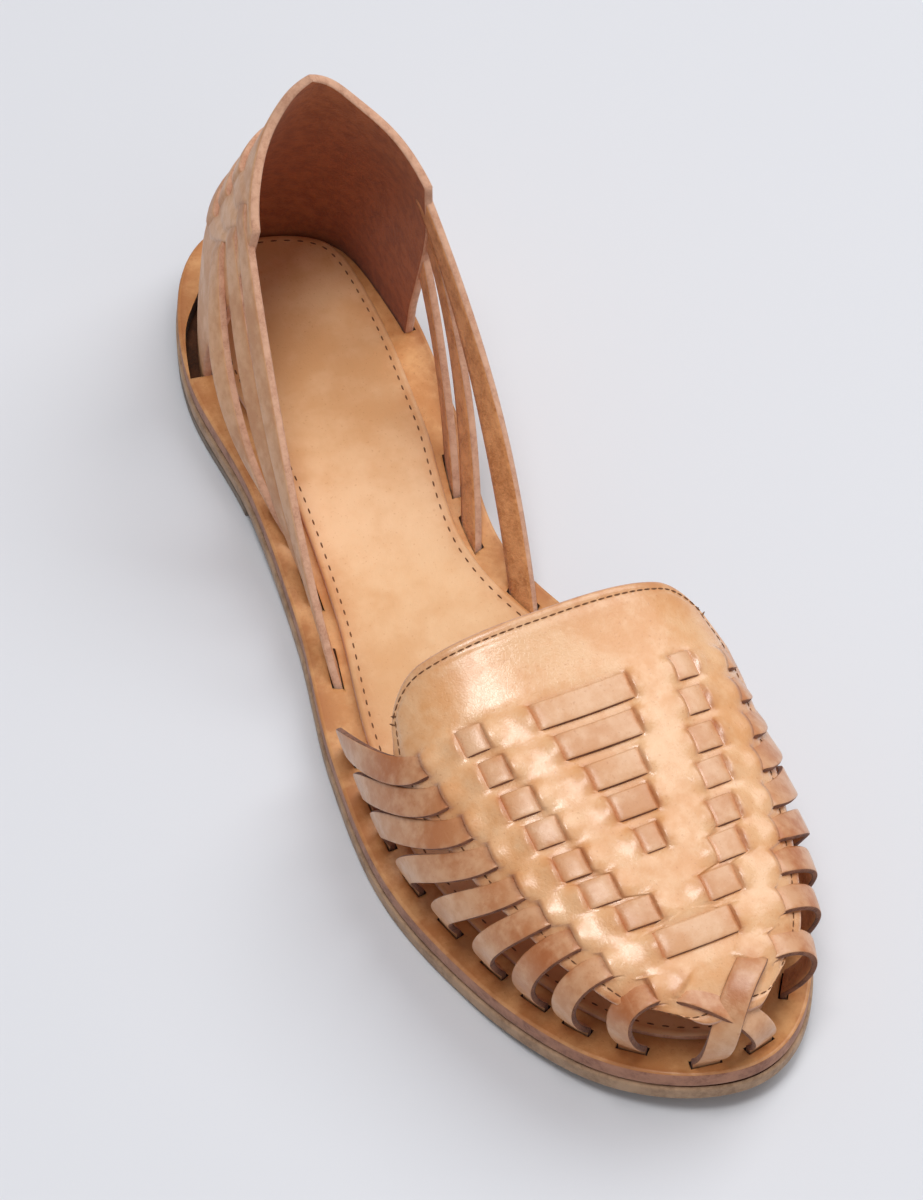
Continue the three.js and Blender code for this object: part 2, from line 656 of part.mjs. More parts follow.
function backStrip(row) {
  const grid = (lift) => [-1, 1].map((side) => {
    const line = [];
    for (let i = 0; i <= STRIP_STEPS; i += 1) {
      const round = mix(-BACK_STRIP_ROUND, BACK_STRIP_ROUND, i / STRIP_STEPS);
      const level = row.backLevel + (side * BACK_STRAP_WIDTH) / 2 / COUNTER_HEIGHT;
      line.push(counterPoint(round, level, lift));
    }
    return line;
  });
  const face = COUNTER_THICKNESS / 2;
  return wall(grid(face + BACK_STRAP_LIFT), grid(face + BACK_STRAP_LIFT - BACK_STRAP_THICKNESS));
}

const BACK_STRAP_STEPS = 9;
const TURNED_AT = 0.75;

// A back strap lies against the wall at its slit, and it turns on its way down to stand along the rim.
function backStrap(row, side) {
  const round = side * row.round;
  const centre = COUNTER_THICKNESS / 2 + BACK_STRAP_LIFT - BACK_STRAP_THICKNESS / 2;
  const start = counterPoint(round, row.slit, centre);
  const offWall = start.clone().sub(counterSurface(round, row.slit)).normalize();
  const { foot, footAcross } = rimFoot(angleAt(row.foot * LENGTH, side, SLOT_INSET));
  const way = foot.clone().sub(start).normalize();
  const across = offWall.cross(way).normalize();
  if (footAcross.dot(across) < 0) footAcross.negate();
  const sideWay = vector(0, side, 0);
  const stations = [];
  for (let i = 0; i <= BACK_STRAP_STEPS; i += 1) {
    const t = i / BACK_STRAP_STEPS;
    const bow = row[`${sideName(side)}Bow`] * BACK_STRAP_BOW * 4 * t * (1 - t);
    stations.push({
      point: start.clone().lerp(foot, t).addScaledVector(sideWay, bow),
      across: across.clone().lerp(footAcross, smooth(0, TURNED_AT, t)),
    });
  }
  const [last, end] = stations.slice(-2).map((station) => station.point);
  const straight = end.clone().sub(last).normalize();
  const tabEnd = foot.clone().addScaledVector(straight, TAB_DEPTH / -straight.z);
  stations.push({ point: tabEnd, across: footAcross });
  const solid = strap(stations, BACK_STRAP_WIDTH, BACK_STRAP_THICKNESS);
  const slotAcross = footAcross.clone().addScaledVector(straight, -straight.dot(footAcross)).normalize();
  const cutter = slotCutter(foot, straight, slotAcross, BACK_STRAP_WIDTH, BACK_STRAP_THICKNESS);
  return { solid, cutter };
}

// The groove in the board is cut by the foot of the same wall, up to this level. By the lateral front corner
// the wall stands straighter than the groove and leaves it open outside.
const GROOVE_LEVEL = 0.14;
const SLACK_FROM = 0.55;
const SLACK_FULL = 0.82;

function makeCounter() {
  const face = COUNTER_THICKNESS / 2;
  const back = counterWall({
    outer: () => face, inner: () => -face, topLevel: collarLevel, rows: COUNTER_ROWS,
  });
  const solids = [back];
  const slack = (round) => GROOVE_SLACK * smooth(SLACK_FROM, SLACK_FULL, -round);
  const groove = counterWall({
    outer: (round) => face + SLOT_CLEARANCE + slack(round),
    inner: () => -face - SLOT_CLEARANCE,
    topLevel: () => GROOVE_LEVEL,
    rows: 1,
    footDrop: SLOT_OVERRUN,
  });
  const cutters = [groove];
  BACK_STRAPS.forEach((row) => {
    solids.push(backStrip(row));
    [-1, 1].forEach((side) => {
      const leg = backStrap(row, side);
      solids.push(leg.solid);
      cutters.push(leg.cutter);
    });
  });
  return { solid: joined(solids), cutters };
}

const vamp = makeVamp();
const counter = makeCounter();

// Strap ends and the foot of the counter stop just over the lower face of the board.
const underBoard = layer({
  inset: -SLOT_INSET, bottom: () => -BOARD_THICKNESS, top: (x) => boardBottom(x) + SLOT_CLEARANCE,
});

const heelLift = layer({
  inset: 0, bottom: () => 0, top: () => liftTop, end: angleAt(LIFT_LENGTH, 1, 0), steps: 16,
});
const outsole = layer({ inset: 0, bottom: outsoleBottom, top: outsoleTop });
const boardBlank = layer({ inset: BOARD_INSET, bottom: boardBottom, top: boardTop });
const board = cutBy(boardBlank, [...vamp.cutters, ...counter.cutters]);
const insole = layer({ inset: INSOLE_INSET, bottom: insoleBottom, top: insoleTop });

// Finish of each piece
const finish = (color, roughness) => new THREE.MeshStandardMaterial({ color, roughness, metalness: 0 });
const pieces = [
  { name: 'heel_lift', solid: heelLift, material: finish(0x8d8379, 0.85) },
  { name: 'outsole', solid: outsole, material: finish(0x9c9084, 0.85) },
  { name: 'midsole_board', solid: board, material: finish(0xc08a55, 0.6) },
  { name: 'insole', solid: insole, material: finish(0xe0b184, 0.55) },
  { name: 'vamp', solid: vamp.solid.subtract(underBoard), material: finish(0xd09a62, 0.45) },
  { name: 'heel_counter', solid: counter.solid.subtract(underBoard), material: finish(0xb98a6c, 0.55) },
];

// The middle of the sole's own box on the floor is the origin.
const rimSteps = 720;
const rim = Array.from({ length: rimSteps }, (_, i) => edgePoint((2 * Math.PI * i) / rimSteps));
const medialReach = Math.max(...rim.map((p) => p.y));
const lateralReach = Math.min(...rim.map((p) => p.y));

const sandal = new THREE.Group();
pieces.forEach(({ name, solid, material }) => {
  const mesh = new THREE.Mesh(toGeometry(solid), material);
  mesh.name = name;
  sandal.add(mesh);
});
sandal.position.set(-LENGTH / 2, -(medialReach + lateralReach) / 2, 0);

export default sandal;
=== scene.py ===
import math

import bmesh
import bpy
import numpy as np
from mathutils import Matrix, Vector


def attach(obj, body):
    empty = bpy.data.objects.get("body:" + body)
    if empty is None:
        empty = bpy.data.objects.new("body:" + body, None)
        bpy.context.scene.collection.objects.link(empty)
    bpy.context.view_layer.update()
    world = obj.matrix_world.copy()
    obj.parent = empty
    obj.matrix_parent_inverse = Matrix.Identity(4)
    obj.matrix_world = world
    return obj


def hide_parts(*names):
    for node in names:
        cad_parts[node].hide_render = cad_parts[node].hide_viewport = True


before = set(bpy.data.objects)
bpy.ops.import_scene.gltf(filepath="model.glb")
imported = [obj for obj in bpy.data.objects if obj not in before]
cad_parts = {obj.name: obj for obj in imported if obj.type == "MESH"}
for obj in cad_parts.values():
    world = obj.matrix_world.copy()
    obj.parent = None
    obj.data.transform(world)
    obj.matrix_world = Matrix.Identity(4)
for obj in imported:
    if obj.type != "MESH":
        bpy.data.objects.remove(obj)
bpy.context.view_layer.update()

# A huarache sandal, the right shoe. Sizes are in millimetres, with X from the heel end to the toe and Y
# to the wearer's left. The last step of each piece turns them into metres in the frame of the CAD.
LENGTH = 250.0
BALL_WIDTH = 81.2
WAIST_WIDTH = 50.0
HEEL_WIDTH = 54.5

LIFT_THICKNESS = 2.6
LIFT_LENGTH = 72.0
OUTSOLE_THICKNESS = 3.6
BOARD_THICKNESS = 4.5
INSOLE_THICKNESS = 2.2
TOE_SPRING = 5.0
BOND_GAP = 0.3
BOARD_INSET = 0.5
SLOT_INSET = 5.6
INSOLE_INSET = 8.6
SLOT_CLEARANCE = 0.3
SLOT_OVERRUN = 1.5
# Hollows of the insole: place along, reach along and reach across
HOLLOWS = [(34, 26, 15), (178, 30, 24)]
HOLLOW_DEPTH = 0.5

INSTEP_HEIGHT = 57.0
VAMP_THICKNESS = 1.7
VAMP_SHIFT = 2.4
THROAT_AT = 0.6408 * LENGTH
TOE_EDGE_AT = 0.986 * LENGTH
THROAT_CORNER = 9.0
# Rounding at the toe, lateral and medial
TOE_CORNERS = (6.0, 4.5)
STRAP_WIDTH = 5.8
HALF_STRAP = STRAP_WIDTH / 2
STRAP_THICKNESS = 1.3
STRAP_CENTRE = -0.1
STRAP_DIVE = 0.55
PUFF_HEIGHT = 1.25
PUFF_SPREAD = 2.6
PRESSED = 0.3
SLIT_GAP = 0.14
# Columns of the sheet between its middle, the slits and its edge
COLUMN_STEPS = (13, 12, 7, 9, 9)
# Where the share of a row in the sheet's relief begins and ends to fade
ROW_FADE = (1.2, 5.9)
SIDE_BULGE = 7.6
TOE_BULGE = 6.0
ROW_SAG = 3.6
THROAT_SAG = 1.2
ROW_SKEW = 0.02
SECTION_POWER = 2.6
WALL_REACH = 0.999
# Steps of a strap's end that lie hidden before its slit
UNDER_STEPS = np.array([-1.5, -0.7])
STITCH_INSET = 1.9

COUNTER_HEIGHT = 88.0
COUNTER_GIRTH = 58.0
COUNTER_THICKNESS = 2.2
COUNTER_INSET = 5.4
MEDIAL_CORNER_INSET = 2.4
LATERAL_CORNER_INSET = 3.6
GROOVE_SLACK = 2.4
BACK_STRAP_WIDTH = 6.0
BACK_STRAP_THICKNESS = 1.8
BACK_STRAP_LIFT = 1.0
BACK_STRAP_BOW = 3.5
BACK_STRAP_DIVE = 0.8
SLIT_SLANT = 1.2
TURNED_AT = 0.75
LATERAL_LEAN = 0.34

TURN = 2 * math.pi
ALONG, UP = np.eye(3)[[0, 2]]
rng = np.random.default_rng(11)


class Table:
    """Rows of shares; at() runs smoothly through a column without overshoot."""

    def __init__(self, names, rows):
        values = np.array(rows, float)
        self.columns = dict(zip(names.split(), values.T))
        self.keys = values[:, 0]

    def at(self, name, place):
        keys = self.keys
        values = self.columns[name]
        place = np.clip(np.asarray(place, float), keys[0], keys[-1])
        i = np.clip(np.searchsorted(keys, place, side="right") - 1, 0, len(keys) - 2)
        slopes = np.diff(values) / np.diff(keys)
        inner = np.where(slopes[:-1] * slopes[1:] > 0, (slopes[:-1] + slopes[1:]) / 2, 0)
        tangents = np.concatenate([slopes[:1], inner, slopes[-1:]])
        span = keys[i + 1] - keys[i]
        t = (place - keys[i]) / span
        rise = (values[i + 1] - values[i]) * t * t * (3 - 2 * t)
        enter = t * (1 - t) ** 2 * span * tangents[i]
        leave = t * t * (1 - t) * span * tangents[i + 1]
        return values[i] + rise + enter - leave


OUTLINE = [
    (0.06, HEEL_WIDTH, 0.492, 0.330),
    (0.16, HEEL_WIDTH, 0.528, 0.472),
    (0.30, WAIST_WIDTH, 0.496, 0.522),
    (0.44, WAIST_WIDTH, 0.392, 0.608),
    (0.58, BALL_WIDTH, 0.368, 0.469),
    (0.70, BALL_WIDTH, 0.498, 0.502),
    (0.82, BALL_WIDTH, 0.477, 0.431),
    (0.92, BALL_WIDTH, 0.371, 0.297),
]
HEEL_TIP_SHIFT = 0.022
TOE_TIP_SHIFT = 0.079
SECTIONS = Table("at crown depth half", [
    (0.600, 1.060, 0.420, 0.434),
    (0.628, 1.000, 0.420, 0.446),
    (0.700, 0.872, 0.386, 0.480),
    (0.748, 0.821, 0.351, 0.468),
    (0.800, 0.765, 0.316, 0.443),
    (0.844, 0.719, 0.289, 0.419),
    (0.888, 0.674, 0.263, 0.382),
    (0.920, 0.640, 0.219, 0.345),
    (0.952, 0.591, 0.175, 0.296),
    (0.990, 0.515, 0.123, 0.185),
])
# Weave: middle, ends of the bar, of the two squares and of the side strap, edge of the vamp, foot
ROWS = [
    (0.718, 0.129, 0.251, 0.314, 0.403, 0.468, 0.583),
    (0.748, 0.105, 0.234, 0.298, 0.393, 0.452, 0.630),
    (0.779, 0.071, 0.208, 0.284, 0.376, 0.436, 0.670),
    (0.808, 0.054, 0.185, 0.262, 0.353, 0.418, 0.720),
    (0.839, 0.030, 0.165, 0.238, 0.331, 0.393, 0.770),
    (0.866, 0.022, 0.128, 0.209, 0.305, 0.364, 0.822),
    (0.892, 0.018, 0.063, 0.154, 0.266, 0.337, 0.865),
    (0.921, 0.101, 0.130, 0.165, 0.229, 0.296, 0.902),
    (0.951, 0.060, 0.090, 0.120, 0.158, 0.240, 0.940),
]
COLUMN_NAMES = "at bar inner outer side edge"
THROAT_COLUMNS = (THROAT_AT / LENGTH, 0.160, 0.275, 0.340, 0.404, 0.434)
TOE_COLUMNS = (TOE_EDGE_AT / LENGTH, 0.035, 0.055, 0.075, 0.095, 0.118)
COLUMNS = Table(COLUMN_NAMES, [THROAT_COLUMNS] + [row[:6] for row in ROWS] + [TOE_COLUMNS])
BAR_ROWS = (1, 2, 3, 4, 5, 8)
LAST_SQUARE_ROW = 7
# Toe straps: slit along and across, foot along and across, and how many straps they lie over
TOE_STRAPS = [
    (0.957, -0.060, 0.981, 0.118, 0),
    (0.956, 0.118, 0.978, -0.022, 1),
]
COUNTER = Table("level back middle half lateral_bend medial_bend", [
    (0.00, 0.000, 0.020, 0.410, 0.46, 0.46),
    (0.14, 0.004, 0.020, 0.412, 0.58, 0.46),
    (0.35, 0.060, 0.045, 0.408, 0.84, 0.47),
    (0.55, 0.152, 0.080, 0.395, 0.78, 0.53),
    (0.75, 0.242, 0.110, 0.362, 0.70, 0.66),
    (1.00, 0.335, 0.150, 0.400, 1.10, 1.10),
])
COUNTER_FRONT = Table("level lateral medial", [
    (0.00, 0.158, 0.186),
    (0.14, 0.166, 0.196),
    (0.35, 0.192, 0.216),
    (0.55, 0.210, 0.226),
    (0.75, 0.214, 0.230),
    (1.00, 0.222, 0.236),
])
COLLAR = Table("round height", [(0, 1), (0.25, 0.958), (0.5, 0.890), (0.78, 0.825), (1, 0.745)])
# Back straps: height and way round of the slit, level at the back, foot, lateral bow and medial bow
BACK_STRAPS = [
    (0.730, 0.80, 0.690, 0.494, 0.75, 1.00),
    (0.635, 0.80, 0.575, 0.412, 0.95, 1.00),
    (0.530, 0.74, 0.460, 0.352, 1.85, 0.45),
]
BACK_STRIP_ROUND = 0.56


def smooth(start, stop, value):
    t = np.clip((np.asarray(value, float) - start) / (stop - start), 0, 1)
    return t * t * (3 - 2 * t)


def mix(a, b, t):
    return a + (b - a) * t


def unit(v):
    return v / np.maximum(np.linalg.norm(v, axis=-1, keepdims=True), 1e-12)


def points_of(x, y, z):
    return np.stack(np.broadcast_arrays(x, y, z), axis=-1).astype(float)


# Edge of the sole, as in the CAD: the angle runs from the heel end along the medial edge to the toe
def outline_knots():
    angles = [math.acos(1 - 2 * row[0]) for row in OUTLINE]
    medial = [row[1] * row[2] for row in OUTLINE]
    lateral = [-row[1] * row[3] for row in OUTLINE]
    a = np.array([0.0] + angles + [math.pi] + [TURN - v for v in reversed(angles)])
    y = np.array([HEEL_TIP_SHIFT * HEEL_WIDTH] + medial + [TOE_TIP_SHIFT * BALL_WIDTH] + lateral[::-1])
    return np.concatenate([a[-2:] - TURN, a, a[:3] + TURN]), np.concatenate([y[-2:], y, y[:3]])


KNOT_ANGLES, KNOT_SIDES = outline_knots()


def edge_point(angle):
    a = np.mod(np.asarray(angle, float), TURN)
    i = np.searchsorted(KNOT_ANGLES, a, side="right") - 1
    k = [KNOT_ANGLES[i + n] for n in (-1, 0, 1, 2)]
    y = [KNOT_SIDES[i + n] for n in (-1, 0, 1, 2)]
    slope = [(y[n + 1] - y[n]) / (k[n + 1] - k[n]) for n in range(3)]
    span = k[2] - k[1]
    enter = (slope[0] * span + slope[1] * (k[1] - k[0])) / (k[2] - k[0]) * span
    leave = (slope[1] * (k[3] - k[2]) + slope[2] * span) / (k[3] - k[1]) * span
    t = (a - k[1]) / span
    side = y[1] * (2 * t**3 - 3 * t**2 + 1) + enter * (t**3 - 2 * t**2 + t)
    side = side + y[2] * (3 * t**2 - 2 * t**3) + leave * (t**3 - t**2)
    return np.stack([LENGTH * (1 - np.cos(a)) / 2, side], axis=-1)


def edge_tangent(angle):
    return unit(edge_point(np.asarray(angle) + 0.02) - edge_point(np.asarray(angle) - 0.02))


def inset_point(angle, inset):
    tangent = edge_tangent(angle)
    inward = np.stack([tangent[..., 1], -tangent[..., 0]], axis=-1)
    return edge_point(angle) + inward * np.asarray(inset)[..., None]


def angle_at(x, side, inset):
    low, high = 0.0, math.pi
    for _ in range(40):
        middle = (low + high) / 2
        if inset_point(side * middle, inset)[0] < x:
            low = middle
        else:
            high = middle
    return side * (low + high) / 2


def outsole_bottom(x):
    heel = (LIFT_THICKNESS + BOND_GAP) * (1 - smooth(LIFT_LENGTH, 0.44 * LENGTH, x))
    spring = np.maximum(0, (x - 0.72 * LENGTH) / (0.28 * LENGTH))
    return heel + TOE_SPRING * spring**2


def outsole_top(x):
    return outsole_bottom(x) + OUTSOLE_THICKNESS


def board_bottom(x):
    return outsole_top(x) + BOND_GAP


def board_top(x):
    return board_bottom(x) + BOARD_THICKNESS


def insole_bottom(x):
    return board_top(x) + BOND_GAP


def insole_top(x):
    return insole_bottom(x) + INSOLE_THICKNESS


rim = edge_point(np.linspace(0, TURN, 721))
MIDDLE = np.array([LENGTH / 2, (rim[:, 1].max() + rim[:, 1].min()) / 2, 0])


def in_metres(points):
    return (points - MIDDLE) / 1000


def put(name, data):
    made = bpy.data.objects.new(name, data)
    bpy.context.scene.collection.objects.link(made)
    return made


def finish_piece(name, mesh, node):
    made = put(name, mesh)
    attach(made, "root")
    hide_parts(node)
    return made


def evaluated_mesh(thing):
    graph = bpy.context.evaluated_depsgraph_get()
    return bpy.data.meshes.new_from_object(thing.evaluated_get(graph))


# Faces of a piece carry the number of their material, and its points a tone from 0, pale, to 1, dark and
# burnt in colour: burnishing at edges, painted shade beside slits and in pressed hollows
class Shape:
    def __init__(self):
        self.points = []
        self.faces = []
        self.kinds = []
        self.tones = []
        self.count = 0

    def add(self, points, faces, kinds, tones=0.0):
        points = np.asarray(points, float).reshape(-1, 3)
        self.points.append(points)
        self.faces += [tuple(int(v) + self.count for v in face) for face in faces]
        self.kinds += list(kinds)
        self.tones.append(np.broadcast_to(np.asarray(tones, float).reshape(-1), (len(points),)))
        self.count += len(points)

    def grid(self, grid, kinds, tones=0.0, round_columns=False):
        """A sheet of rows and columns of points; kinds is one number or one for each column."""
        rows, columns = grid.shape[:2]
        r, c = np.meshgrid(np.arange(rows - 1), np.arange(columns if round_columns else columns - 1))
        r, c = r.T.ravel(), c.T.ravel()
        low, high, following = r * columns, (r + 1) * columns, (c + 1) % columns
        faces = np.stack([low + c, low + following, high + following, high + c], axis=-1)
        self.add(grid, faces, np.broadcast_to(np.asarray(kinds), (columns,))[c], tones)

    def cap(self, first, size, kind):
        self.faces.append(tuple(range(first, first + size)))
        self.kinds.append(kind)

    def mesh(self, name, materials):
        made = bpy.data.meshes.new(name)
        made.from_pydata(in_metres(np.concatenate(self.points)).tolist(), [], self.faces)
        for material in materials:
            made.materials.append(material)
        return made

    def piece(self, name, materials, slot, node):
        mesh = self.mesh(name, materials)
        mesh.polygons.foreach_set("material_index", np.array(self.kinds, np.int32))
        tone = mesh.attributes.new("tone", "FLOAT", "POINT")
        tone.data.foreach_set("value", np.concatenate(self.tones))
        work = bmesh.new()
        work.from_mesh(mesh)
        bmesh.ops.remove_doubles(work, verts=work.verts, dist=1e-6)
        bmesh.ops.dissolve_degenerate(work, dist=1e-7, edges=work.edges)
        bmesh.ops.recalc_face_normals(work, faces=work.faces)
        for face in work.faces:
            face.smooth = True
        work.to_mesh(mesh)
        work.free()
        return finish_piece(name, mesh, node)


GRAIN, CUT, FLESH = 0, 1, 2


def shell(shape, outer, inner, tones, roll=0.35, cut_tone=0.35):
    """A wall from two grids of points, with an edge rolled a little out beyond their borders."""
    rows, columns = outer.shape[:2]
    border = [(0, c) for c in range(columns)] + [(r, columns - 1) for r in range(1, rows)]
    border += [(rows - 1, c) for c in range(columns - 2, -1, -1)]
    border += [(r, 0) for r in range(rows - 2, 0, -1)]
    r, c = np.array(border).T
    away = unit(outer[r, c] - outer[np.clip(r, 1, rows - 2), np.clip(c, 1, columns - 2)])
    steps = [(0.0, 0.0), (0.12, 0.75), (0.35, 1.0), (0.65, 1.0), (0.88, 0.75), (1.0, 0.0)]
    loops = [mix(outer[r, c], inner[r, c], t) + away * out * roll for t, out in steps]
    shape.grid(outer, GRAIN, tones)
    shape.grid(inner[:, ::-1], FLESH, 0.5)
    shape.grid(np.array(loops), CUT, cut_tone, round_columns=True)


# Outline of a strap's section: share of its half width, share of its thickness, kind of leather
SECTION = [
    (-0.97, 0.44, GRAIN), (-0.86, 0.51, GRAIN), (-0.50, 0.55, GRAIN), (0.0, 0.57, GRAIN),
    (0.50, 0.55, GRAIN), (0.86, 0.51, GRAIN), (0.97, 0.44, CUT), (1.0, 0.20, CUT), (1.0, -0.20, CUT),
    (0.97, -0.45, FLESH), (0.60, -0.50, FLESH), (-0.60, -0.50, FLESH), (-0.97, -0.45, CUT),
    (-1.0, -0.20, CUT), (-1.0, 0.20, CUT),
]
SIDES, HEIGHTS, KINDS = (np.array(v) for v in zip(*SECTION))


def strap_on(shape, stations, across, width, thickness, tones=0.3):
    """A flat strap along stations, with rounded edges and closed ends."""
    stations = np.asarray(stations, float)
    count = len(stations)
    before = stations[np.maximum(np.arange(count) - 1, 0)]
    after = stations[np.minimum(np.arange(count) + 1, count - 1)]
    way = unit(after - before)
    across = np.broadcast_to(across, stations.shape)
    across = unit(across - way * np.sum(across * way, axis=-1, keepdims=True))
    out = np.cross(way, across)
    loops = stations[:, None] + across[:, None] * (SIDES * width / 2)[None, :, None]
    loops = loops + out[:, None] * (HEIGHTS * thickness)[None, :, None]
    strap_loops(shape, loops, tones)


def strap_loops(shape, loops, tones):
    count, size = loops.shape[:2]
    tones = np.broadcast_to(np.asarray(tones, float).reshape(-1, 1), (count, size))
    start = shape.count
    shape.grid(loops, KINDS, tones.ravel(), round_columns=True)
    shape.cap(start, size, CUT)
    shape.cap(start + (count - 1) * size, size, CUT)


# Vamp surface and weave
def vamp_surface(x, offset):
    share = x / LENGTH
    crown = SECTIONS.at("crown", share) * INSTEP_HEIGHT
    depth = SECTIONS.at("depth", share) * INSTEP_HEIGHT
    half = SECTIONS.at("half", share) * BALL_WIDTH
    reach = np.minimum(WALL_REACH, np.abs(offset) / half)
    drop = depth * (1 - np.sqrt(1 - reach**SECTION_POWER))
    return points_of(x, VAMP_SHIFT + offset, crown - drop)


def lifted(surface, u, v, lift, step):
    """Points that stand off a surface along its normal."""
    u, v, lift = np.broadcast_arrays(*(np.asarray(value, float) for value in (u, v, lift)))
    along = surface(u + step, v) - surface(u - step, v)
    across = surface(u, v + step) - surface(u, v - step)
    return surface(u, v) + unit(np.cross(along, across)) * lift[..., None]


def vamp_point(x, offset, lift):
    return lifted(vamp_surface, x, offset, lift, 0.4)


def row_place(middle, offset, sag=ROW_SAG):
    return middle + ROW_SKEW * offset - sag * (offset / (0.4 * BALL_WIDTH)) ** 2


def slits_of(number, row):
    """Offsets at which a cross strap comes out or goes in, from the middle out."""
    bar, inner, outer, side = (value * BALL_WIDTH for value in row[1:5])
    return [bar] * (number in BAR_ROWS) + [inner, outer] * (number <= LAST_SQUARE_ROW) + [side]


def weave_relief(middle, offset):
    """Height and tone of the sheet: up over a strap that lies under it, pressed down by one over it. The
    tone is painted shade beside the slits and on the pressed parts.
    """
    relief = np.zeros_like(middle)
    tone = np.zeros_like(middle)
    reach = np.abs(offset)
    for number, row in enumerate(ROWS, start=1):
        away = np.abs(middle - row[0] * LENGTH)
        weight = 1 - smooth(*ROW_FADE, away)
        ridge = np.exp(-((away / PUFF_SPREAD) ** 2))
        body = 1 - smooth(HALF_STRAP - 1.0, HALF_STRAP + 1.4, away)
        blur = 0.16 + 2.8 * smooth(HALF_STRAP - 0.5, HALF_STRAP + 0.7, away)
        over = number in BAR_ROWS
        cover = np.full_like(middle, 0.0 if over else 1.0)
        flank = np.zeros_like(middle)
        slit_shade = np.zeros_like(middle)
        for slit in slits_of(number, row):
            beyond = reach - slit
            cover = cover + (1.0 if over else -1.0) * smooth(-1, 1, beyond / blur)
            flank = np.maximum(flank, np.exp(-((beyond / PUFF_SPREAD) ** 2)))
            # Painted shade: the sheet darkens close to each slit
            slit_shade = np.maximum(slit_shade, np.exp(-np.abs(beyond) / 0.6))
            over = not over
        puff = cover * PUFF_HEIGHT * (0.42 + 0.62 * flank * ridge)
        relief += weight * (puff - (1 - cover) * PRESSED)
        # Painted shade beside the slits and on the parts of the sheet pressed down by a strap
        tone += body * (0.8 * slit_shade + 0.25 * (1 - cover))
    # A lip stands up beside the slits of the two toe straps
    for slit_at, slit_side, _, foot_side, _ in TOE_STRAPS:
        along = middle - slit_at * LENGTH
        across = (offset - (slit_side * BALL_WIDTH - VAMP_SHIFT)) * np.sign(foot_side - slit_side)
        inside = along * 0.8 + across * 0.6
        beside = across * 0.8 - along * 0.6
        lip = np.exp(-((beside / 3.2) ** 4)) * (1 - smooth(-0.2, 0.3, inside))
        lip = lip * np.exp(-((inside / 3.0) ** 2))
        relief += 0.75 * lip
        tone += 0.3 * lip
    return relief, tone


def column_offsets(middles):
    """Offsets of the sheet's columns for each line. Beside a strap they stay at the strap's own slits."""
    shares = middles / LENGTH
    for row in ROWS:
        away = shares - row[0]
        shares = np.where(np.abs(away) < HALF_STRAP / LENGTH, row[0] + away * 0.02, shares)
    knots = [np.zeros_like(middles)]
    knots += [COLUMNS.at(name, shares) * BALL_WIDTH for name in ("bar", "inner", "outer", "side")]
    knots.append(COLUMNS.at("edge", middles / LENGTH) * BALL_WIDTH)
    columns = []
    for i, count in enumerate(COLUMN_STEPS):
        start = knots[i] + (SLIT_GAP if i else 0)
        stop = knots[i + 1] - (SLIT_GAP if i < 4 else 0)
        columns += [mix(start, stop, k / count) for k in range(count + 1)]
    half = np.array(columns).T
    return np.concatenate([-half[:, :0:-1], half], axis=1)


def corner_back(offsets, edge, size):
    """How far the rounded corners of the sheet stand back from its straight end."""
    beyond = np.clip(np.abs(offsets) - (edge - size), 0, size)
    return size - np.sqrt(np.maximum(size**2 - beyond**2, 0))


def make_vamp_sheet(shape):
    middles = np.arange(THROAT_AT, TOE_EDGE_AT + 0.01, 0.5)
    middles[-1] = TOE_EDGE_AT
    offsets = column_offsets(middles)
    edge = np.abs(offsets[:, -1:])
    middle = np.broadcast_to(middles[:, None], offsets.shape)
    throat_back = corner_back(offsets, edge, THROAT_CORNER)
    from_throat = (middle - THROAT_AT) / (ROWS[0][0] * LENGTH - THROAT_AT)
    middle = middle + throat_back * np.clip(1 - from_throat, 0, 1)
    toe_back = corner_back(offsets, edge, np.where(offsets < 0, *TOE_CORNERS))
    from_toe = (TOE_EDGE_AT - middle) / (TOE_EDGE_AT - ROWS[-1][0] * LENGTH)
    middle = middle - toe_back * np.clip(1 - from_toe, 0, 1)
    sag = mix(THROAT_SAG, ROW_SAG, np.clip(from_throat, 0, 1))
    relief, tone = weave_relief(middle, offsets)
    to_end = np.minimum(middle - THROAT_AT - throat_back, TOE_EDGE_AT - toe_back - middle)
    to_edge = np.minimum(edge - np.abs(offsets), to_end)
    # The stitches pull a furrow, and the edge is rolled down
    relief -= 0.28 * np.exp(-(((to_edge - STITCH_INSET) / 0.6) ** 2)) + 0.25 * np.exp(-to_edge / 0.5)
    tone += 0.5 * np.exp(-to_edge / 2.2)
    place = row_place(middle, offsets, sag)
    outer = vamp_point(place, offsets, relief)
    inner = vamp_point(place, offsets, relief * 0.45 - VAMP_THICKNESS)
    shell(shape, outer, inner, tone.ravel())
    return offsets, outer


def strap_rise(inside):
    """Lift of a strap's middle at a distance inside its slit: it dives under the sheet beyond it."""
    shown = STRAP_CENTRE - STRAP_DIVE * np.exp(-np.maximum(inside, 0) / 0.6)
    return np.where(inside > 0, shown, STRAP_CENTRE - STRAP_DIVE + 0.5 * inside)


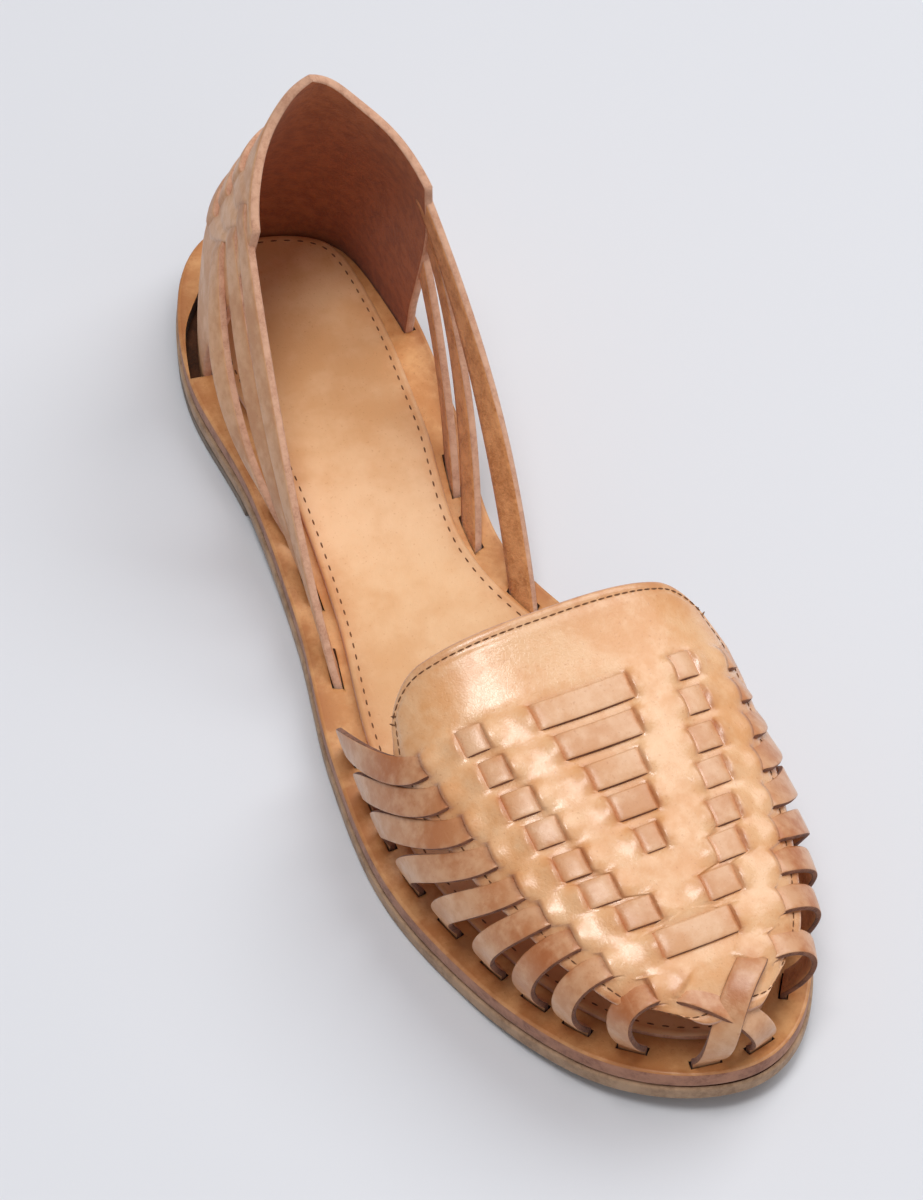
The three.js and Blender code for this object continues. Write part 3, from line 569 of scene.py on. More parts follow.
def raised_strip(shape, row, start, stop):
    """A stretch of cross strap that lies on the sheet between two slits."""
    length = stop - start
    steps = max(10, int(length / 0.7))
    shown = np.linspace(1.3, length / 2, steps // 2)
    inside = np.concatenate([UNDER_STEPS, [0, 0.25, 0.55, 0.9], shown])
    offsets = np.concatenate([start + inside, (stop - inside)[-2::-1]])
    near = np.minimum(offsets - start, stop - offsets)
    tilt = rng.uniform(-0.12, 0.12)
    lift = strap_rise(near) + rng.uniform(0.0, 0.12)
    turn = rng.uniform(-0.15, 0.15)
    offset_grid = offsets[:, None] + np.zeros_like(SIDES)[None]
    middle = row[0] * LENGTH + SIDES[None] * HALF_STRAP * 0.985
    middle = middle + turn * (offset_grid - (start + stop) / 2) * 0.1
    heights = lift[:, None] + HEIGHTS[None] * STRAP_THICKNESS + tilt * SIDES[None]
    loops = vamp_point(row_place(middle, offset_grid), offset_grid, heights)
    # Painted shade: the strap darkens where it dives into its slits
    tones = 0.12 + 0.4 * np.exp(-np.abs(near) / 0.8) + rng.uniform(-0.12, 0.12)
    strap_loops(shape, loops, tones)


def bezier(controls, t):
    a, b, c, d = controls
    t = t[:, None]
    return a * (1 - t) ** 3 + 3 * b * t * (1 - t) ** 2 + 3 * c * t * t * (1 - t) + d * t**3


def slot_box(shape, foot, way, across, width, thickness):
    """Cutter for a slot: the strap's straight end, wider by the clearance and run out of both faces."""
    rise = abs(way[2])
    overrun = SLOT_OVERRUN + width / 2 * abs(across[2])
    above = foot - way * overrun / rise
    below = foot + way * (BOARD_THICKNESS + overrun) / rise
    across = unit(across - way * np.dot(across, way))
    out = np.cross(way, across)
    corners = [
        point + across * s * (width / 2 + SLOT_CLEARANCE) + out * f * (thickness / 2 + SLOT_CLEARANCE)
        for point in (above, below) for s, f in ((-1, -1), (1, -1), (1, 1), (-1, 1))
    ]
    faces = [(0, 1, 2, 3), (7, 6, 5, 4), (0, 4, 5, 1), (1, 5, 6, 2), (2, 6, 7, 3), (3, 7, 4, 0)]
    shape.add(corners, faces, [0] * 6)


def out_of_slit(stations, start, way, normal, gone, depth, fade, slope):
    """Stations of a strap that comes up out of its slit, after two that are hidden below the sheet."""
    under = UNDER_STEPS[:, None]
    hidden = start + way * under + normal * (-depth + slope * under)
    return np.concatenate([hidden, stations + normal * (-depth * np.exp(-gone / fade))[:, None]])


def leg_strap(shape, cutters, start, out, across, foot, foot_across, outward, bulge, reach, normal):
    """A strap from a slit over the edge of the vamp and down, bulging out, into a slot of the board."""
    top = foot + UP
    drop = start[2] - foot[2]
    controls = (start, start + out * reach, top + outward * bulge + UP * 0.5 * drop, top)
    t = np.linspace(0, 1, 30) ** 1.15
    stations = bezier(controls, t)
    gone = np.concatenate([[0], np.cumsum(np.linalg.norm(np.diff(stations, axis=0), axis=1))])
    stations = out_of_slit(stations, start, out, normal, gone, STRAP_DIVE, 0.6, 0.5)
    end = foot - UP * (BOARD_THICKNESS - SLOT_CLEARANCE)
    stations = np.concatenate([stations, [mix(top, foot, 0.6), foot, end]])
    turns = np.concatenate([[0, 0], t, [1, 1, 1]])[:, None]
    tones = 0.25 + 0.45 * np.exp(-(((turns[:, 0] - 0.22) / 0.2) ** 2)) + rng.uniform(-0.1, 0.12)
    # Painted shade where the strap comes out of its slit
    tones[:4] += 0.2
    strap_on(shape, stations, mix(across, foot_across, turns), STRAP_WIDTH, STRAP_THICKNESS, tones)
    slot_box(cutters, foot, -UP, foot_across, STRAP_WIDTH, STRAP_THICKNESS + 0.1)
    return foot, foot_across


def rim_foot(angle):
    """Foot of a strap in the rim of slots, the way along the rim and the way out of the shoe."""
    plan = inset_point(angle, SLOT_INSET)
    tangent = edge_tangent(angle)
    foot = np.array([plan[0], plan[1], board_top(plan[0])])
    return foot, np.array([tangent[0], tangent[1], 0]), np.array([-tangent[1], tangent[0], 0])


def surface_normal(point_of, x, offset):
    return unit(point_of(x, offset, 1.0) - point_of(x, offset, 0.0))


def side_strap(shape, cutters, row, side):
    middle = row[0] * LENGTH
    offset = side * row[4] * BALL_WIDTH
    place = row_place(middle, offset)
    start = vamp_point(place, offset, STRAP_CENTRE)
    following = offset + side
    out = unit(vamp_point(row_place(middle, following), following, STRAP_CENTRE) - start)
    normal = surface_normal(vamp_point, place, offset)
    foot, foot_across, outward = rim_foot(angle_at(row[6] * LENGTH, side, SLOT_INSET))
    # Its grain side is outside on both sides of the shoe
    across = foot_across * (-side if foot_across[0] >= 0 else side)
    bulge = SIDE_BULGE + rng.uniform(-0.4, 0.4)
    return leg_strap(shape, cutters, start, out, ALONG * -side, foot, across, outward, bulge, 11, normal)


def toe_strap(shape, cutters, row):
    slit_at, slit_side, foot_at, foot_side, level = row
    slit_x, x = slit_at * LENGTH, foot_at * LENGTH
    offset = slit_side * BALL_WIDTH - VAMP_SHIFT
    start = vamp_point(slit_x, offset, STRAP_CENTRE + level * (STRAP_THICKNESS + 0.1))
    normal = surface_normal(vamp_point, slit_x, offset)
    side = np.sign(foot_side - slit_side)
    foot = np.array([x, foot_side * BALL_WIDTH, board_top(x)])
    out = unit(np.array([0.75, side, -0.2]))
    foot_across = unit(np.array([0.2, -side, 0])) * -side
    across = unit(np.array([1, -side * 0.75, 0])) * -side
    bulge = TOE_BULGE + level * STRAP_THICKNESS
    return leg_strap(shape, cutters, start, out, across, foot, foot_across, ALONG, bulge, 12, normal)


# Heel counter
COUNTER_FOOT = float(board_top(0.0)) - (BOARD_THICKNESS - SLOT_CLEARANCE)
COUNTER_BACK = COUNTER_INSET + COUNTER_THICKNESS / 2


def counter_oval(turn_share, level):
    lateral = turn_share < 0
    side = np.where(lateral, -1.0, 1.0)
    half = COUNTER.at("half", level) * HEEL_WIDTH
    bend = np.where(lateral, COUNTER.at("lateral_bend", level), COUNTER.at("medial_bend", level))
    depth = bend * HEEL_WIDTH
    back = COUNTER_BACK + COUNTER.at("back", level) * COUNTER_HEIGHT
    front = np.where(lateral, COUNTER_FRONT.at("lateral", level), COUNTER_FRONT.at("medial", level)) * LENGTH
    last_turn = np.arccos(np.maximum(0, 1 - (front - back) / depth))
    arc = (half + depth) / 2 * last_turn
    straight = np.maximum(0, front - back - depth)
    way = np.abs(turn_share) * (arc + straight)
    turn = np.minimum(way, arc) / arc * last_turn
    x = back + depth * (1 - np.cos(turn)) + np.maximum(0, way - arc)
    y = COUNTER.at("middle", level) * HEEL_WIDTH + side * half * np.sin(turn)
    return points_of(x, y, mix(COUNTER_FOOT, COUNTER_HEIGHT, level))


CORNERS = {
    -1: LATERAL_CORNER_INSET + COUNTER_THICKNESS / 2,
    1: MEDIAL_CORNER_INSET + COUNTER_THICKNESS / 2,
}
CORNER_ANGLES = {
    side: abs(angle_at(float(COUNTER_FRONT.at(name, 0)) * LENGTH, side, CORNERS[side]))
    for side, name in ((-1, "lateral"), (1, "medial"))
}


def counter_surface(turn_share, level):
    lateral = turn_share < 0
    corner = np.where(lateral, CORNERS[-1], CORNERS[1])
    nearness = np.minimum(1, np.where(lateral, turn_share**4, turn_share**2))
    angle = turn_share * np.where(lateral, CORNER_ANGLES[-1], CORNER_ANGLES[1])
    plan = inset_point(angle, mix(COUNTER_BACK, corner, nearness))
    oval = counter_oval(turn_share, np.zeros_like(level))
    hold = 1 - smooth(0.09, 0.38, level)
    surface = counter_oval(turn_share, level)
    surface[..., 0] += (plan[..., 0] - oval[..., 0]) * hold
    surface[..., 1] += (plan[..., 1] - oval[..., 1]) * hold
    return surface


def counter_point(turn_share, level, lift):
    return lifted(counter_surface, turn_share, level, -lift, 0.01)


def counter_relief(turn_share, level):
    """The counter stands up over a back strap between its strip at the back and its slit at the side; its
    tone is painted shade beside their ends.
    """
    relief = np.zeros_like(turn_share)
    tone = np.zeros_like(turn_share)
    reach = np.abs(turn_share)
    half = BACK_STRAP_WIDTH / 2
    for slit, slit_round, back_level, *_ in BACK_STRAPS:
        share = np.clip((reach - BACK_STRIP_ROUND) / (slit_round - BACK_STRIP_ROUND), 0, 1)
        away = np.abs(level - mix(back_level, slit, share)) * COUNTER_HEIGHT
        body = 1 - smooth(half - 1.2, half + 1.6, away)
        from_strip = (reach - BACK_STRIP_ROUND) * COUNTER_GIRTH
        from_slit = (reach - (slit_round + SLIT_SLANT * (level - slit))) * COUNTER_GIRTH
        opened = smooth(-0.3, 0.3, from_strip)
        closed = smooth(-0.3, 0.3, from_slit)
        flank = np.exp(-np.abs(from_slit) / 1.3) + np.exp(-np.abs(from_strip) / 1.3)
        puff = 0.5 * opened * (1 - closed) * (1 + 0.25 * flank)
        relief += body * (puff - 0.25 * (1 - opened) - 0.3 * closed * np.exp(-from_slit / 3))
        # Painted shade beside the ends of the strip and the slit
        tone += body * 0.35 * flank
    return relief, tone


def make_counter(shape):
    columns, rows = 220, 90
    turn_share = np.broadcast_to(np.linspace(-1, 1, columns + 1)[None], (rows + 1, columns + 1))
    top = COLLAR.at("height", np.abs(turn_share))
    level = top * np.linspace(0, 1, rows + 1)[:, None]
    relief, tone = counter_relief(turn_share, level)
    from_top = (top - level) * COUNTER_HEIGHT
    to_edge = np.minimum(from_top, (1 - np.abs(turn_share)) * COUNTER_GIRTH)
    relief = relief * smooth(0, 2.5, to_edge) - 0.3 * np.exp(-to_edge / 0.5)
    tone = tone + 0.35 * np.exp(-to_edge / 2.5) + 0.25 * np.exp(-level * COUNTER_HEIGHT / 9)
    outer = counter_point(turn_share, level, COUNTER_THICKNESS / 2 + relief)
    inner = counter_point(turn_share, level, -COUNTER_THICKNESS / 2)
    shell(shape, outer[:, ::-1], inner[:, ::-1], tone[:, ::-1].ravel(), cut_tone=0.2)


def back_strip(shape, row):
    reach = BACK_STRIP_ROUND + 0.03
    turn_share = np.linspace(-reach, reach, 60)
    inside = (BACK_STRIP_ROUND - np.abs(turn_share)) * COUNTER_GIRTH
    centre = COUNTER_THICKNESS / 2 + 0.25
    shown = centre - BACK_STRAP_DIVE * np.exp(-np.maximum(inside, 0) / 0.7)
    hidden = np.maximum(centre - BACK_STRAP_DIVE + 0.8 * inside, -0.1)
    lift = np.where(inside > 0, shown, hidden)
    level = row[2] - SIDES[None] * BACK_STRAP_WIDTH / 2 / COUNTER_HEIGHT
    heights = lift[:, None] + HEIGHTS[None] * BACK_STRAP_THICKNESS
    loops = counter_point(turn_share[:, None], level, heights)
    # Painted shade: the strip darkens where it dives into the counter
    strap_loops(shape, loops, 0.2 + 0.35 * np.exp(-np.abs(inside) / 1.2))


def back_strap(shape, cutters, row, side):
    """A strap from its slit down to the board. It turns from the wall's way to the rim's way as it goes."""
    slit, slit_round, _, foot_at, lateral_bow, medial_bow = row
    centre = COUNTER_THICKNESS / 2 + BACK_STRAP_LIFT - BACK_STRAP_THICKNESS / 2
    start = counter_point(side * slit_round, slit, centre)
    normal = surface_normal(counter_point, side * slit_round, slit)
    foot, foot_across, _ = rim_foot(angle_at(foot_at * LENGTH, side, SLOT_INSET))
    way = unit(foot - start)
    across = unit(np.cross(normal, way))
    if np.dot(across, foot_across) < 0:
        foot_across = -foot_across
    t = np.linspace(0, 1, 34)
    bow = (medial_bow if side > 0 else lateral_bow) * BACK_STRAP_BOW * 4 * t * (1 - t)
    stations = mix(start, foot, t[:, None]) + np.array([0.0, side, 0]) * bow[:, None]
    gone = t * np.linalg.norm(foot - start)
    stations = out_of_slit(stations, start, way, normal, gone, BACK_STRAP_DIVE, 0.8, 0.2)
    straight = unit(stations[-1] - stations[-2])
    end = foot + straight * (BOARD_THICKNESS - SLOT_CLEARANCE) / -straight[2]
    stations = np.concatenate([stations, [mix(foot, end, 0.3), end]])
    turns = np.concatenate([[0, 0], smooth(0, TURNED_AT, t), [1, 1]])[:, None]
    # Painted shade near the slit; the strap also darkens towards its foot
    shown_tones = 0.22 + 0.25 * np.exp(-t / 0.05) + 0.2 * smooth(0.75, 1, t)
    tones = np.concatenate([[0.5, 0.5], shown_tones, [0.4, 0.4]])
    # The grain side stays outside on both sides of the shoe; the lateral straps also lean up on their way
    strap_across = unit(mix(across, foot_across, turns))
    if side < 0:
        lean = np.concatenate([[0, 0], LATERAL_LEAN * np.sin(math.pi * t), [0, 0]])[:, None]
        strap_out = np.cross(way, strap_across)
        sign = np.sign(strap_across[0, 2])
        strap_across = strap_across * np.cos(lean) - strap_out * np.sin(lean) * sign
    strap_on(shape, stations, strap_across, BACK_STRAP_WIDTH, BACK_STRAP_THICKNESS, tones)
    slot_across = unit(foot_across - straight * np.dot(straight, foot_across))
    slot_box(cutters, foot, straight, slot_across, BACK_STRAP_WIDTH, BACK_STRAP_THICKNESS)
    return foot, foot_across


def groove_cutter(shape):
    turn_share = np.linspace(-1, 1, 121)
    slack = GROOVE_SLACK * smooth(0.55, 0.82, -turn_share)
    face = COUNTER_THICKNESS / 2 + SLOT_CLEARANCE
    grids = []
    for lift in (face + slack, -face * np.ones_like(slack)):
        low = counter_point(turn_share, 0.0, lift)
        high = counter_point(turn_share, 0.14, lift)
        low[:, 2] -= 1.5
        grids.append((low, high))
    (a, b), (c, d) = grids
    loops = np.stack([a, b, d, c], axis=1)
    start = shape.count
    shape.grid(loops, 0, round_columns=True)
    shape.cap(start, 4, 0)
    shape.cap(start + 120 * 4, 4, 0)


# Layers of the sole
def slab(inset, bottom, top, edge_round, kinds, steps, across, end=math.pi, relief=None, ledge=False):
    """A layer of the sole with rounded edges: closed loops across it, from the heel end to the toe."""
    angles = np.linspace(0, end, steps + 1)
    quarter = np.linspace(0, math.pi / 2, 4)
    profile = [(edge_round * (1 - math.sin(q)), edge_round * (1 - math.cos(q))) for q in quarter]
    s = np.linspace(-1, 1, across + 1)[1:-1]
    s = np.sign(s) * (1 - (1 - np.abs(s)) ** 1.3)

    def corner(side, face, way, rising):
        rows = []
        for d, h in profile[::way]:
            plan = inset_point(side * angles, inset + d)
            rows.append(points_of(plan[:, 0], plan[:, 1], face(plan[:, 0]) + rising * h))
        return rows

    # Round the loop: up the lateral side, over the top to the medial side, down it and back under
    low_lateral, high_lateral = corner(-1, bottom, 1, 1), corner(-1, top, -1, -1)
    high_medial, low_medial = corner(1, top, 1, -1), corner(1, bottom, -1, 1)
    ends = [inset_point(side * angles, inset + edge_round) for side in (-1, 1)]
    plans = [mix(*ends, (value + 1) / 2) for value in s]
    top_rows, bottom_rows = (
        [points_of(plan[:, 0], plan[:, 1], face(plan[:, 0])) for plan in plans] for face in (top, bottom)
    )
    if relief is not None:
        for row in [high_lateral[-1]] + top_rows + [high_medial[0]]:
            row[:, 2] += relief(row[:, 0], row[:, 1])
    walls = [
        [mix(low, high, k / 4) for k in (1, 2, 3)]
        for low, high in ((low_lateral[-1], high_lateral[0]), (high_medial[-1], low_medial[0]))
    ]
    order = low_lateral + walls[0] + high_lateral + top_rows + high_medial + walls[1] + low_medial
    loops = np.array(order + bottom_rows[::-1]).transpose(1, 0, 2)
    # A ledge that shows beside the layer above it has the colour of the side
    side_kind, top_kind, bottom_kind = kinds
    flat = len(s)
    edge, face = (11, flat - 1) if ledge else (8, flat + 5)
    loop_kinds = [side_kind] * edge + [top_kind] * face + [side_kind] * edge + [bottom_kind] * (flat + 1)
    column_tones = np.full(loops.shape[1], 0.4)
    column_tones[11: 11 + flat] = 0.1 + 0.5 * np.exp(-(1 - np.abs(s)) / 0.12)
    tones = np.broadcast_to(column_tones, loops.shape[:2]).ravel()
    shape = Shape()
    shape.grid(loops, loop_kinds, tones, round_columns=True)
    if end < math.pi:
        shape.cap(steps * loops.shape[1], loops.shape[1], side_kind)
    return shape


# Node helpers
def fill(tree, node, inputs):
    """Gives sockets their values, or links them where the value is another node's socket."""
    for name, value in inputs.items():
        if isinstance(value, bpy.types.NodeSocket):
            tree.links.new(value, node.inputs[name])
        else:
            node.inputs[name].default_value = value
    return node


def add(tree, kind, inputs=None, **settings):
    node = tree.nodes.new(kind)
    for name, value in settings.items():
        setattr(node, name, value)
    return fill(tree, node, inputs or {})


def colour(red, green, blue):
    """A colour named by its 0-255 parts as a screen shows it."""
    shares = [part / 255 for part in (red, green, blue)]
    return (*(v / 12.92 if v <= 0.04045 else ((v + 0.055) / 1.055) ** 2.4 for v in shares), 1.0)


def math_node(tree, operation, a, b):
    return add(tree, "ShaderNodeMath", {0: a, 1: b}, operation=operation).outputs[0]


def times(tree, a, b):
    return math_node(tree, "MULTIPLY", a, b)


def plus(tree, a, b):
    return math_node(tree, "ADD", a, b)


def over_size(tree, size):
    return math_node(tree, "DIVIDE", 1.0, size)


def blend(tree, factor, a, b):
    made = add(tree, "ShaderNodeMix", data_type="RGBA", blend_type="MIX")
    return fill(tree, made, {0: factor, 6: a, 7: b}).outputs[2]


def noise(tree, vector, scale, detail=3.0, rough=0.55):
    values = {"Vector": vector, "Scale": scale, "Detail": detail, "Roughness": rough}
    return add(tree, "ShaderNodeTexNoise", values).outputs["Fac"]


def ramp(tree, value, start, stop, low=0.0, high=1.0):
    values = {"Value": value, "From Min": start, "From Max": stop, "To Min": low, "To Max": high}
    return add(tree, "ShaderNodeMapRange", values, interpolation_type="SMOOTHSTEP").outputs["Result"]


def bump_of(tree, height, strength, distance):
    values = {"Height": height, "Strength": strength, "Distance": distance}
    return add(tree, "ShaderNodeBump", values).outputs["Normal"]


def group(name, sizes, outputs):
    tree = bpy.data.node_groups.new(name, "ShaderNodeTree")
    tree.interface.new_socket(name="Vector", in_out="INPUT", socket_type="NodeSocketVector")
    for label, default in sizes.items():
        socket = tree.interface.new_socket(name=label, in_out="INPUT", socket_type="NodeSocketFloat")
        socket.default_value = default
    for label in outputs:
        tree.interface.new_socket(name=label, in_out="OUTPUT", socket_type="NodeSocketFloat")
    return tree, tree.nodes.new("NodeGroupInput").outputs, tree.nodes.new("NodeGroupOutput")


def make_grain_group():
    """Skin of smooth tanned leather: fine cells, pores, drawn wrinkles and cloudy colour."""
    tree, given, result = group(
        "leather grain", {"Cell size": 0.0008, "Cloud size": 0.012}, ("Height", "Clouds", "Flecks", "Scuffs")
    )
    place = given["Vector"]
    cells = over_size(tree, given["Cell size"])
    clouds = over_size(tree, given["Cloud size"])
    warp = add(tree, "ShaderNodeTexNoise", {"Vector": place, "Scale": 260.0, "Detail": 2.0}).outputs["Color"]
    moved = add(tree, "ShaderNodeVectorMath", {0: warp, "Scale": 0.0012}, operation="SCALE").outputs[0]
    moved = add(tree, "ShaderNodeVectorMath", {0: place, 1: moved}, operation="ADD").outputs[0]
    values = {"Vector": moved, "Scale": cells, "Randomness": 0.9}
    cell = add(tree, "ShaderNodeTexVoronoi", values, feature="DISTANCE_TO_EDGE").outputs["Distance"]
    furrow = ramp(tree, cell, 0.0, 0.16)
    wrinkle = ramp(tree, noise(tree, moved, times(tree, cells, 0.32), 4.0, 0.6), 0.42, 0.62)
    broad = noise(tree, place, clouds, 4.0, 0.6)
    fine = noise(tree, place, times(tree, clouds, 5.0), 3.0, 0.6)
    mixed = plus(tree, times(tree, broad, 0.7), times(tree, fine, 0.3))
    flecks = noise(tree, place, times(tree, cells, 1.4), 1.0, 0.5)
    values = {"Vector": place, "Rotation": (0.0, 0.0, 0.6), "Scale": (90.0, 700.0, 400.0)}
    stretched = add(tree, "ShaderNodeMapping", values).outputs["Vector"]
    fill(tree, result, {
        "Height": plus(tree, times(tree, furrow, 0.45), wrinkle),
        "Clouds": ramp(tree, mixed, 0.36, 0.64),
        "Flecks": ramp(tree, flecks, 0.66, 0.76),
        "Scuffs": ramp(tree, noise(tree, stretched, 1.0, 2.0, 0.5), 0.66, 0.74),
    })
    return tree


def make_fibre_group():
    """Cut or brushed leather: loose fibres and crumbs of two lengths."""
    tree, given, result = group("leather fibre", {"Fibre size": 0.0006}, ("Height", "Crumbs", "Nap"))
    place = given["Vector"]
    scale = over_size(tree, given["Fibre size"])
    crumbs = noise(tree, place, scale, 3.0, 0.7)
    nap = noise(tree, place, times(tree, scale, 0.18), 4.0, 0.65)
    fill(tree, result, {
        "Height": plus(tree, crumbs, times(tree, nap, 0.6)),
        "Crumbs": ramp(tree, crumbs, 0.4, 0.62),
        "Nap": ramp(tree, nap, 0.35, 0.65),
    })
    return tree


grain_group = make_grain_group()
fibre_group = make_fibre_group()


def new_material(name):
    material = bpy.data.materials.new(name)
    material.use_nodes = True
    tree = material.node_tree
    shader = next(node for node in tree.nodes if node.type == "BSDF_PRINCIPLED")
    return material, tree, shader, add(tree, "ShaderNodeTexCoord").outputs["Object"]


def grain_leather(name, pale, deep, burnish_and_shade, rough, coat, bump=0.12, cloud=0.012):
    """Smooth leather: pale to deep with its clouds, and to burnt with the tone of its points, which is
    burnishing at edges and painted shade beside slits and hollows.
    """
    material, tree, shader, place = new_material(name)
    pale, deep, burnish_and_shade = colour(*pale), colour(*deep), colour(*burnish_and_shade)
    sizes = {"Vector": place, "Cell size": 0.0009, "Cloud size": cloud}
    grain = add(tree, "ShaderNodeGroup", node_tree=grain_group)
    fill(tree, grain, sizes)
    height, clouds, flecks, scuffs = (grain.outputs[i] for i in range(4))
    tone = add(tree, "ShaderNodeAttribute", attribute_name="tone").outputs["Fac"]
    base = blend(tree, clouds, pale, deep)
    base = blend(tree, times(tree, tone, ramp(tree, clouds, 0.0, 1.0, 0.55, 1.1)), base, burnish_and_shade)
    base = blend(tree, times(tree, flecks, 0.25), base, burnish_and_shade)
    base = blend(tree, times(tree, scuffs, 0.12), base, pale)
    fill(tree, shader, {
        "Base Color": base,
        "Roughness": plus(tree, ramp(tree, clouds, 0.0, 1.0, *rough), times(tree, scuffs, 0.08)),
        "Normal": bump_of(tree, height, bump, 0.0004),
        "Coat Weight": coat,
        "Coat Roughness": 0.22,
        "Specular IOR Level": 0.5,
    })
    return material


def fibre_leather(name, pale, deep, fibre, bump=0.5):
    """Suede or a cut edge: matt, with crumbs and a cloudy nap."""
    material, tree, shader, place = new_material(name)
    pale, deep = colour(*pale), colour(*deep)
    fibres = add(tree, "ShaderNodeGroup", node_tree=fibre_group)
    fill(tree, fibres, {"Vector": place, "Fibre size": fibre})
    height, crumbs, nap = (fibres.outputs[i] for i in range(3))
    base = blend(tree, nap, pale, deep)
    fill(tree, shader, {
        "Base Color": blend(tree, times(tree, crumbs, 0.5), base, pale),
        "Roughness": ramp(tree, crumbs, 0.0, 1.0, 0.85, 0.98),
        "Normal": bump_of(tree, height, bump, 0.0005),
        "Sheen Weight": 0.15,
        "Sheen Roughness": 0.5,
        "Specular IOR Level": 0.25,
    })
    return material


# Leathers: pale, deep and burnt colour, roughness, coat; the burnt colour also carries the painted shade of
# the tone
vamp_skin = grain_leather(
    "vamp leather", (240, 190, 142), (228, 164, 106), (178, 94, 40), (0.25, 0.40), 0.55
)
strap_skin = grain_leather(
    "strap leather", (232, 184, 142), (218, 158, 108), (174, 94, 42), (0.34, 0.48), 0.3
)
counter_skin = grain_leather(
    "counter leather", (232, 180, 134), (214, 154, 106), (172, 106, 60), (0.42, 0.56), 0.12
)
board_skin = grain_leather(
    "board leather", (234, 176, 118), (216, 150, 90), (158, 84, 32), (0.42, 0.56), 0.15
)
insole_skin = grain_leather(
    "insole leather", (246, 200, 152), (234, 180, 126), (190, 114, 56), (0.40, 0.50), 0.15, 0.08, 0.03
)
# Suedes and edges: pale and deep colour, size of the fibres, bump
cut_edge = fibre_leather("cut edge", (222, 174, 144), (196, 144, 116), 0.0005)
# A darker copy of the cut edge: painted shade on the straps' edges
shaded_strap_edge = fibre_leather("strap edge painted shade", (150, 98, 70), (100, 60, 42), 0.0005)
suede = fibre_leather("brushed back", (230, 162, 106), (190, 122, 70), 0.0008, 0.8)
dark_suede = fibre_leather("lining suede", (186, 108, 64), (156, 86, 50), 0.0005)
# Painted shade: near black-brown walls for the slots, and for the outsole top seen through them
slot_shade = fibre_leather("painted slot shade", (92, 54, 32), (60, 34, 20), 0.0007)
board_edge = fibre_leather("board edge", (186, 134, 108), (146, 98, 78), 0.0009, 0.35)
sole_edge = fibre_leather("outsole edge", (190, 156, 126), (150, 118, 92), 0.0012, 0.35)
sole_face = fibre_leather("outsole face", (176, 150, 122), (152, 126, 100), 0.0015, 0.25)
lift_edge = fibre_leather("lift edge", (140, 124, 110), (112, 98, 86), 0.0012, 0.35)
thread = fibre_leather("thread", (136, 90, 54), (98, 60, 34), 0.00025, 0.6)


# Vamp
vamp_shape, slot_shape, strap_shape, leg_shape = Shape(), Shape(), Shape(), Shape()
vamp_offsets, vamp_outer = make_vamp_sheet(vamp_shape)
feet = []
for number, row in enumerate(ROWS, start=1):
    bar, inner, outer = (value * BALL_WIDTH for value in row[1:4])
    if number in BAR_ROWS:
        raised_strip(strap_shape, row, -bar, bar)
    for side in (-1, 1):
        if number <= LAST_SQUARE_ROW:
            raised_strip(strap_shape, row, *sorted((side * inner, side * outer)))
        feet.append(side_strap(leg_shape, slot_shape, row, side))
for row in TOE_STRAPS:
    feet.append(toe_strap(leg_shape, slot_shape, row))
vamp_shape.piece("vamp_sheet", [vamp_skin, cut_edge, dark_suede], "vamp_leather", "vamp")
strap_leathers = [strap_skin, shaded_strap_edge, suede]
strap_shape.piece("weave_straps", strap_leathers, "vamp_leather", "vamp")
leg_shape.piece("side_straps", strap_leathers, "vamp_leather", "vamp")

# Heel counter and back straps
counter_shape, back_shape = Shape(), Shape()
make_counter(counter_shape)
for row in BACK_STRAPS:
    back_strip(back_shape, row)
    for side in (-1, 1):
        feet.append(back_strap(back_shape, slot_shape, row, side))
counter_shape.piece("counter_wall", [counter_skin, cut_edge, dark_suede], "counter_leather", "heel_counter")
back_shape.piece("back_straps", [counter_skin, cut_edge, suede], "counter_leather", "heel_counter")
groove_cutter(slot_shape)


# Sole
def slot_dimples(x, y):
    sink = np.zeros_like(x)
    for foot, across in feet:
        dx, dy = x - foot[0], y - foot[1]
        near = np.maximum(0, np.abs(dx * across[0] + dy * across[1]) - HALF_STRAP)
        away = np.abs(-dx * across[1] + dy * across[0])
        sink -= 0.3 * np.exp(-(near**2 + away**2) / 3.0)
    return sink


def cut_slots(board, leathers):
    mesh = slot_shape.mesh("slots", leathers)
    work = bmesh.new()
    work.from_mesh(mesh)
    bmesh.ops.recalc_face_normals(work, faces=work.faces)
    # The slots' walls take the last leather, the painted slot shade
    for face in work.faces:
        face.material_index = len(leathers) - 1
    work.to_mesh(mesh)
    work.free()
    cutter = put("slots", mesh)
    cut = board.modifiers.new("slots", "BOOLEAN")
    cut.operation = "DIFFERENCE"
    cut.solver = "EXACT"
    cut.use_self = True
    cut.object = cutter
    cut_mesh = evaluated_mesh(board)
    board.modifiers.remove(cut)
    board.data = cut_mesh
    bpy.data.objects.remove(cutter)


def footbed(x, y):
    """The insole sinks under the heel and under the ball of the foot."""
    return sum(
        -HOLLOW_DEPTH * np.exp(-(((x - place) / along) ** 2) - ((y / across) ** 2))
        for place, along, across in HOLLOWS
    )


board_shape = slab(BOARD_INSET, board_bottom, board_top, 0.7, (1, 0, 2), 300, 90, relief=slot_dimples)
board_leathers = [board_skin, board_edge, suede, slot_shade]
board = board_shape.piece("slotted_board", board_leathers, "board_leather", "midsole_board")
cut_slots(board, board_leathers)
insole_shape = slab(INSOLE_INSET, insole_bottom, insole_top, 1.0, (1, 0, 2), 200, 40, relief=footbed)
insole_shape.piece("stitched_insole", [insole_skin, cut_edge, suede], "insole_leather", "insole")
